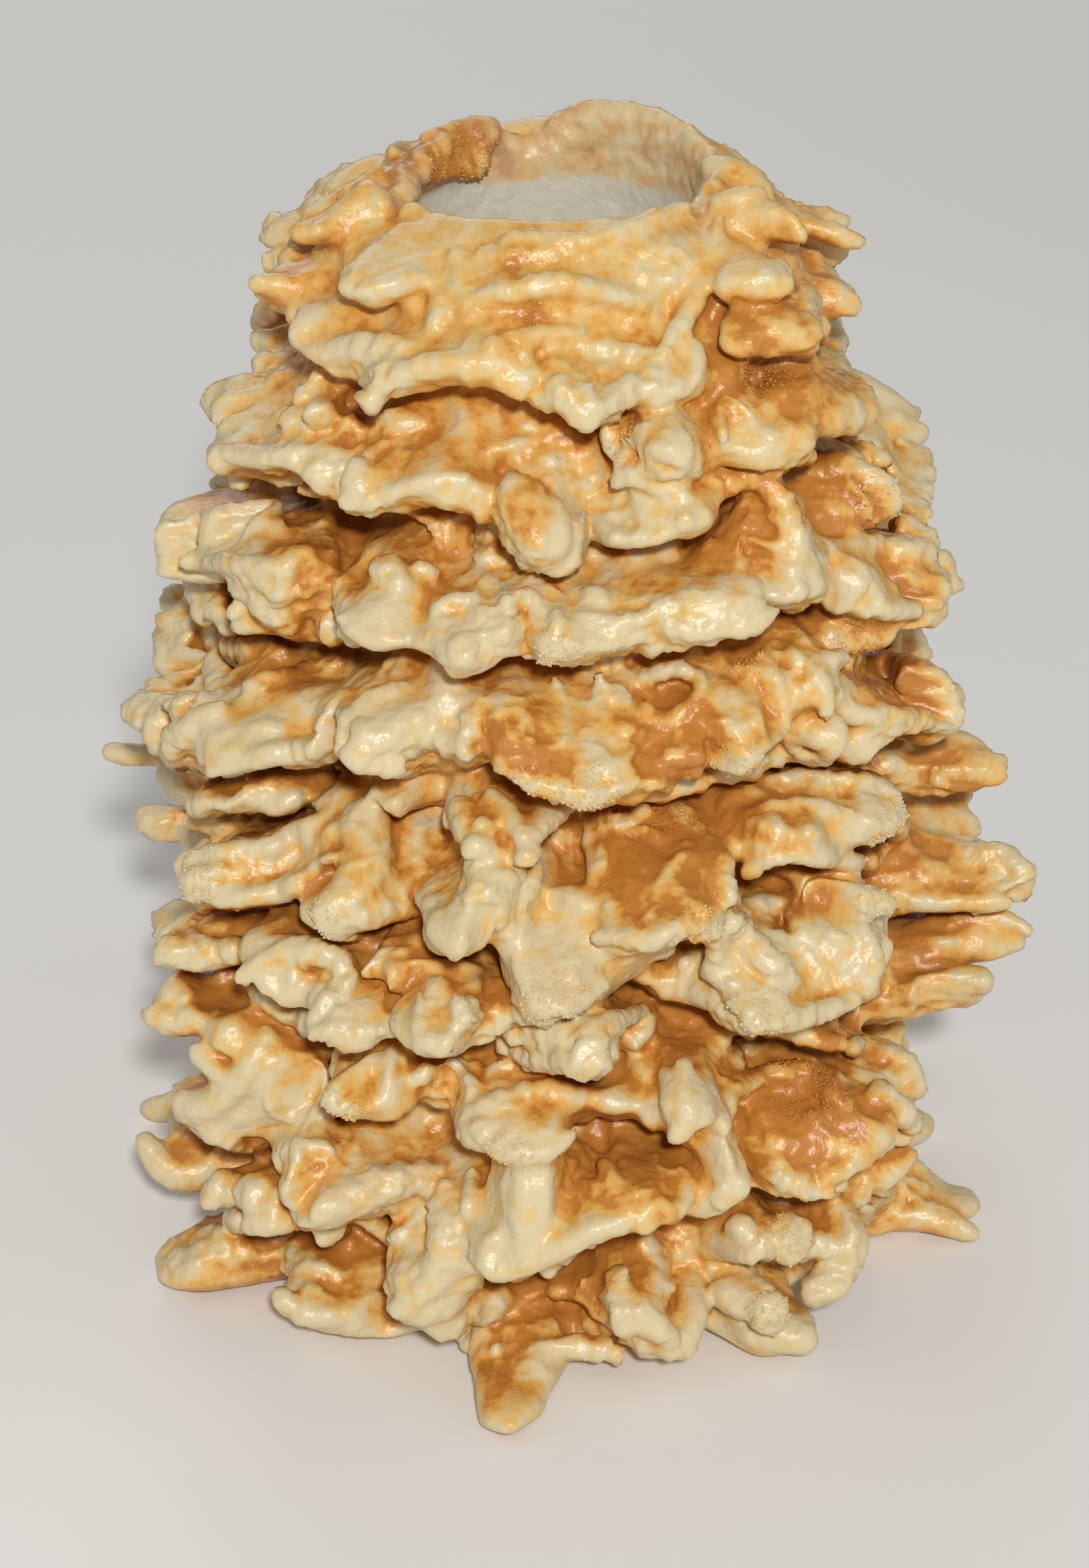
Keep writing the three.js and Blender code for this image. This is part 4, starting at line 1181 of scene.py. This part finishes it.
for spots, sign in ((BROWN_SEEN, 1), (PALE_SEEN, -1)):
    for x, y, radius, amount in spots:
        place = seen_at(x, y)
        if place is not None:
            away = np.linalg.norm(points - place, axis=1) / (radius / 1000)
            browning += 0.8 * sign * amount * np.exp(-(away**2)) * fleck
browning = np.clip(browning, 0, 1)
# Painted shade: the most closed-in gaps at the sides, away from the bore, are marked for a darker tint.
deep = above(closed, 0.6, 0.35) * above(np.abs(azimuth), 30, 25) * (1 - inner)


def keep_on(piece, **layers):
    """Keep values on the points of a piece as attributes."""
    for name, values in layers.items():
        attribute = piece.data.attributes.new(name, "FLOAT", "POINT")
        attribute.data.foreach_set("value", values.astype(np.float32))


# Kept on the skin: the browning with its painted shade, the bore, and the painted shade of the side gaps.
keep_on(crust, browning=browning - RAMP_SHIFT, bore=bore, deep=deep)
print("mean browning", round(float(browning.mean()), 2))

# %% [markdown]
# ## Crumbs
#
# Broken ends shed crumbs that stick to them. They are one more use of the coarse ball: each copy is
# shrunk to a crumb, made uneven and half sunk in the skin. All the crumbs together are one mesh.

# %% Strew crumbs on the broken ends
CRUMBS = 3600
CRUMB_JITTER = 0.0010
shake = np.random.default_rng(7)
likely = np.flatnonzero((crumbly > 0.3) & (rim < 0.3))
crumb_corners = []
crumb_sides = []
crumb_bake_and_shade = []
for number in range(CRUMBS):
    pick = likely[shake.integers(len(likely))]
    radius = shake.uniform(0.0003, 0.0007)
    corners = coarse_points * shake.uniform(0.7, 1.2, (len(coarse_points), 1)) * radius
    aside = shake.uniform(-CRUMB_JITTER, CRUMB_JITTER, 3)
    aside -= normals[pick] * (aside @ normals[pick])
    crumb_corners.append(corners + points[pick] + aside)
    # Each crumb takes the browning and painted shade of the place it sits on.
    crumb_bake_and_shade.append(browning[pick] - RAMP_SHIFT + shake.uniform(-0.06, 0.08))
    crumb_sides.append(coarse_faces + number * len(coarse_points))
crumbs = new_piece("crumbs", crumb_corners, crumb_sides)
crumb_bake_and_shade = np.repeat(crumb_bake_and_shade, len(coarse_points))
plain = np.zeros(len(crumb_bake_and_shade))
keep_on(crumbs, browning=crumb_bake_and_shade, bore=plain, deep=plain)
only(crumbs)
bpy.ops.object.shade_smooth()
print(CRUMBS, "crumbs")

# %% [markdown]
# ## Sectors
#
# The skin has many triangles, and thinning it would lose the fine relief. So it is parted into sectors round
# the axis, with no more than about 190,000 triangles in each, like a cake that is cut and put together again.
# Each sector keeps the normals that it had in the whole skin, so no seam shows.

# %% Part the skin into sectors
MOST_TRIANGLES = 190000


def face_azimuths(piece):
    """The azimuth of the middle of each face."""
    centres = np.empty(len(piece.data.polygons) * 3, np.float32)
    piece.data.polygons.foreach_get("center", centres)
    return around_axis(centres.reshape(-1, 3).astype(float))[0]


triangles = sum(len(face.vertices) - 2 for face in crust.data.polygons)
sectors = math.ceil(triangles / MOST_TRIANGLES)
only(crust)
bpy.ops.object.shade_smooth()
kept_normals = crust.data.attributes.new("kept_normal", "FLOAT_VECTOR", "POINT")
kept_normals.data.foreach_set("vector", normals_of(crust).astype(np.float32).ravel())
cuts = np.quantile(face_azimuths(crust), np.linspace(0, 1, sectors + 1))
pieces = [crust]
for sector in range(1, sectors):
    to_the_left = face_azimuths(crust) < cuts[sector]
    only(crust)
    bpy.ops.object.mode_set(mode="EDIT")
    bpy.ops.mesh.select_mode(type="FACE")
    bpy.ops.mesh.select_all(action="DESELECT")
    bpy.ops.object.mode_set(mode="OBJECT")
    crust.data.polygons.foreach_set("select", to_the_left)
    bpy.ops.object.mode_set(mode="EDIT")
    bpy.ops.mesh.separate(type="SELECTED")
    bpy.ops.object.mode_set(mode="OBJECT")
    pieces.append(next(piece for piece in bpy.context.selected_objects if piece is not crust))
for number, piece in enumerate(pieces):
    piece.name = "cake_crust_" + str(number + 1)
    vectors = np.empty(len(piece.data.vertices) * 3, np.float32)
    piece.data.attributes["kept_normal"].data.foreach_get("vector", vectors)
    piece.data.attributes.remove(piece.data.attributes["kept_normal"])
    piece.data.normals_split_custom_set_from_vertices(vectors.reshape(-1, 3))
pieces.append(crumbs)
print("the crust has", triangles, "triangles in", sectors, "sectors")

# %% [markdown]
# ## The crust's finish
#
# Baked batter is dull and mealy under a thin glaze of set fat and sugar. The browning and painted shade kept
# on the skin, broken up by fine noise, become a colour in a ramp from cream over caramel to brown. The bore
# is floury instead, and the sheltered gaps at the sides are darkened by a painted shade. A middling roughness
# gives the glaze, and a fine bump breaks its highlights into glints.

# %% Make the crust material
BAKE_COLOURS = (
    (0.42, (0.655, 0.54, 0.32, 1)),
    (0.56, (0.675, 0.49, 0.21, 1)),
    (0.69, (0.70, 0.435, 0.137, 1)),
    (0.80, (0.69, 0.375, 0.09, 1)),
    (0.93, (0.62, 0.285, 0.054, 1)),
    (1, (0.51, 0.205, 0.035, 1)),
)
FLOURY = (0.62, 0.58, 0.47, 1)
# The grey-brown tint that darkens the side gaps as painted shade.
PAINTED_SHADE_TINT = (0.56, 0.44, 0.34, 1)
MIX_FACTOR, MIX_FIRST, MIX_SECOND = 0, 6, 7
MIX_RESULT = 2
crust_finish = bpy.data.materials.new("baked_crust")
crust_finish.use_nodes = True
nodes = crust_finish.node_tree.nodes
links = crust_finish.node_tree.links
nodes.clear()


def add_node(kind, sockets=(), **settings):
    """A new node with its settings and the values on its input sockets."""
    node = nodes.new(kind)
    for name, value in settings.items():
        setattr(node, name, value)
    for socket, value in sockets:
        node.inputs[socket].default_value = value
    return node


def wire(source, output_name, node, input_name):
    """Link an output of one node to an input of another."""
    links.new(source.outputs[output_name], node.inputs[input_name])


# %% Wire the colour
output = add_node("ShaderNodeOutputMaterial")
shader = add_node("ShaderNodeBsdfPrincipled", [("Roughness", 0.31)])
wire(shader, "BSDF", output, "Surface")
coordinates = add_node("ShaderNodeTexCoord")

# The browning with its painted shade, read off the skin.
bake_and_shade = add_node("ShaderNodeAttribute", attribute_name="browning")
mottle = add_node("ShaderNodeTexNoise", [("Scale", 120), ("Roughness", 0.65), ("Detail", 8)])
wire(coordinates, "Object", mottle, "Vector")
mottled = add_node("ShaderNodeMath", [(1, 1.4)], operation="MULTIPLY_ADD")
wire(mottle, "Fac", mottled, 0)
wire(bake_and_shade, "Fac", mottled, 2)
colours = add_node("ShaderNodeValToRGB")
stops = colours.color_ramp.elements
stops[0].position, stops[0].color = BAKE_COLOURS[0]
stops[1].position, stops[1].color = BAKE_COLOURS[-1]
for position, colour in BAKE_COLOURS[1:-1]:
    stops.new(position).color = colour
wire(mottled, 0, colours, "Fac")

inside = add_node("ShaderNodeAttribute", attribute_name="bore")
floury = add_node("ShaderNodeMix", data_type="RGBA")
floury.inputs[MIX_SECOND].default_value = FLOURY
wire(inside, "Fac", floury, MIX_FACTOR)
wire(colours, "Color", floury, MIX_FIRST)
# Painted shade: the marked gaps at the sides are multiplied by the tint.
sheltered = add_node("ShaderNodeAttribute", attribute_name="deep")
painted_shade_mix = add_node("ShaderNodeMix", data_type="RGBA", blend_type="MULTIPLY")
painted_shade_mix.inputs[MIX_SECOND].default_value = PAINTED_SHADE_TINT
wire(sheltered, "Fac", painted_shade_mix, MIX_FACTOR)
wire(floury, MIX_RESULT, painted_shade_mix, MIX_FIRST)
wire(painted_shade_mix, MIX_RESULT, shader, "Base Color")
print("the colour takes", len(nodes), "nodes")

# %% Wire the glints and dress the pieces
pores = add_node("ShaderNodeTexNoise", [("Scale", 330), ("Detail", 6)])
wire(coordinates, "Object", pores, "Vector")
skin = add_node("ShaderNodeBump", [("Strength", 0.42), ("Distance", 0.0015)])
wire(pores, "Fac", skin, "Height")
wire(skin, "Normal", shader, "Normal")
for piece in pieces:
    piece.data.materials.clear()
    piece.data.materials.append(crust_finish)
print("the crust material has", len(nodes), "nodes")

# %% [markdown]
# ## Floor and light
#
# A plain pale floor keeps the eye on the crust. One small strong light above the camera draws the short
# shadows under the lips, two large weak ones keep the sides from going black, and a third lights the
# back.

# %% Lay the floor
FLOOR_SIZE = 14
FLOOR_BACK = 3
FLOOR_COLOUR = (0.84, 0.83, 0.81, 1)
FLOOR_ROUGHNESS = 0.7
bpy.ops.object.select_all(action="DESELECT")
bpy.ops.mesh.primitive_plane_add(size=FLOOR_SIZE, location=(0, FLOOR_BACK, 0))
floor = bpy.context.object
floor.name = "studio_floor"
floor_finish = bpy.data.materials.new("pale_floor")
floor_finish.use_nodes = True
floor_shader = floor_finish.node_tree.nodes["Principled BSDF"]
floor_shader.inputs["Base Color"].default_value = FLOOR_COLOUR
floor_shader.inputs["Roughness"].default_value = FLOOR_ROUGHNESS
floor.data.materials.append(floor_finish)
print("the floor is", FLOOR_SIZE, "m wide")

# %% Hang the lights
AIR_COLOUR = (1, 0.98, 0.95, 1)
AIR_STRENGTH = 0.25


def area_light(name, place, target, size, power):
    light_data = bpy.data.lights.new(name, "AREA")
    light_data.size = size
    light_data.energy = power
    light = bpy.data.objects.new(name, light_data)
    bpy.context.scene.collection.objects.link(light)
    light.location = place
    light.rotation_euler = (Vector(target) - Vector(place)).to_track_quat("-Z", "Y").to_euler()


area_light("key_light", (AXIS_X + 0.2, AXIS_Y - 3.0, 2.1), (0, 0, 0.17), 0.22, 95)
area_light("left_fill", (-1.6, -0.6, 1.0), (0, 0, 0.2), 1.0, 2.0)
area_light("right_fill", (1.5, -0.4, 1.3), (0, 0, 0.2), 1.0, 2.0)
area_light("back_fill", (-0.5, 2.4, 1.7), (0, 0, 0.2), 1.4, 13)
world = bpy.data.worlds.new("studio_air")
world.use_nodes = True
air = world.node_tree.nodes["Background"]
air.inputs["Color"].default_value = AIR_COLOUR
air.inputs["Strength"].default_value = AIR_STRENGTH
bpy.context.scene.world = world
bpy.context.scene.view_settings.view_transform = "Standard"

# %% [markdown]
# ## Hand over
#
# Every piece of the crust rides on the one body, and the plain solid is hidden.

# %% Hand the crust over to the frame
for piece in pieces:
    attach(piece, "root")
    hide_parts("spit_cake")
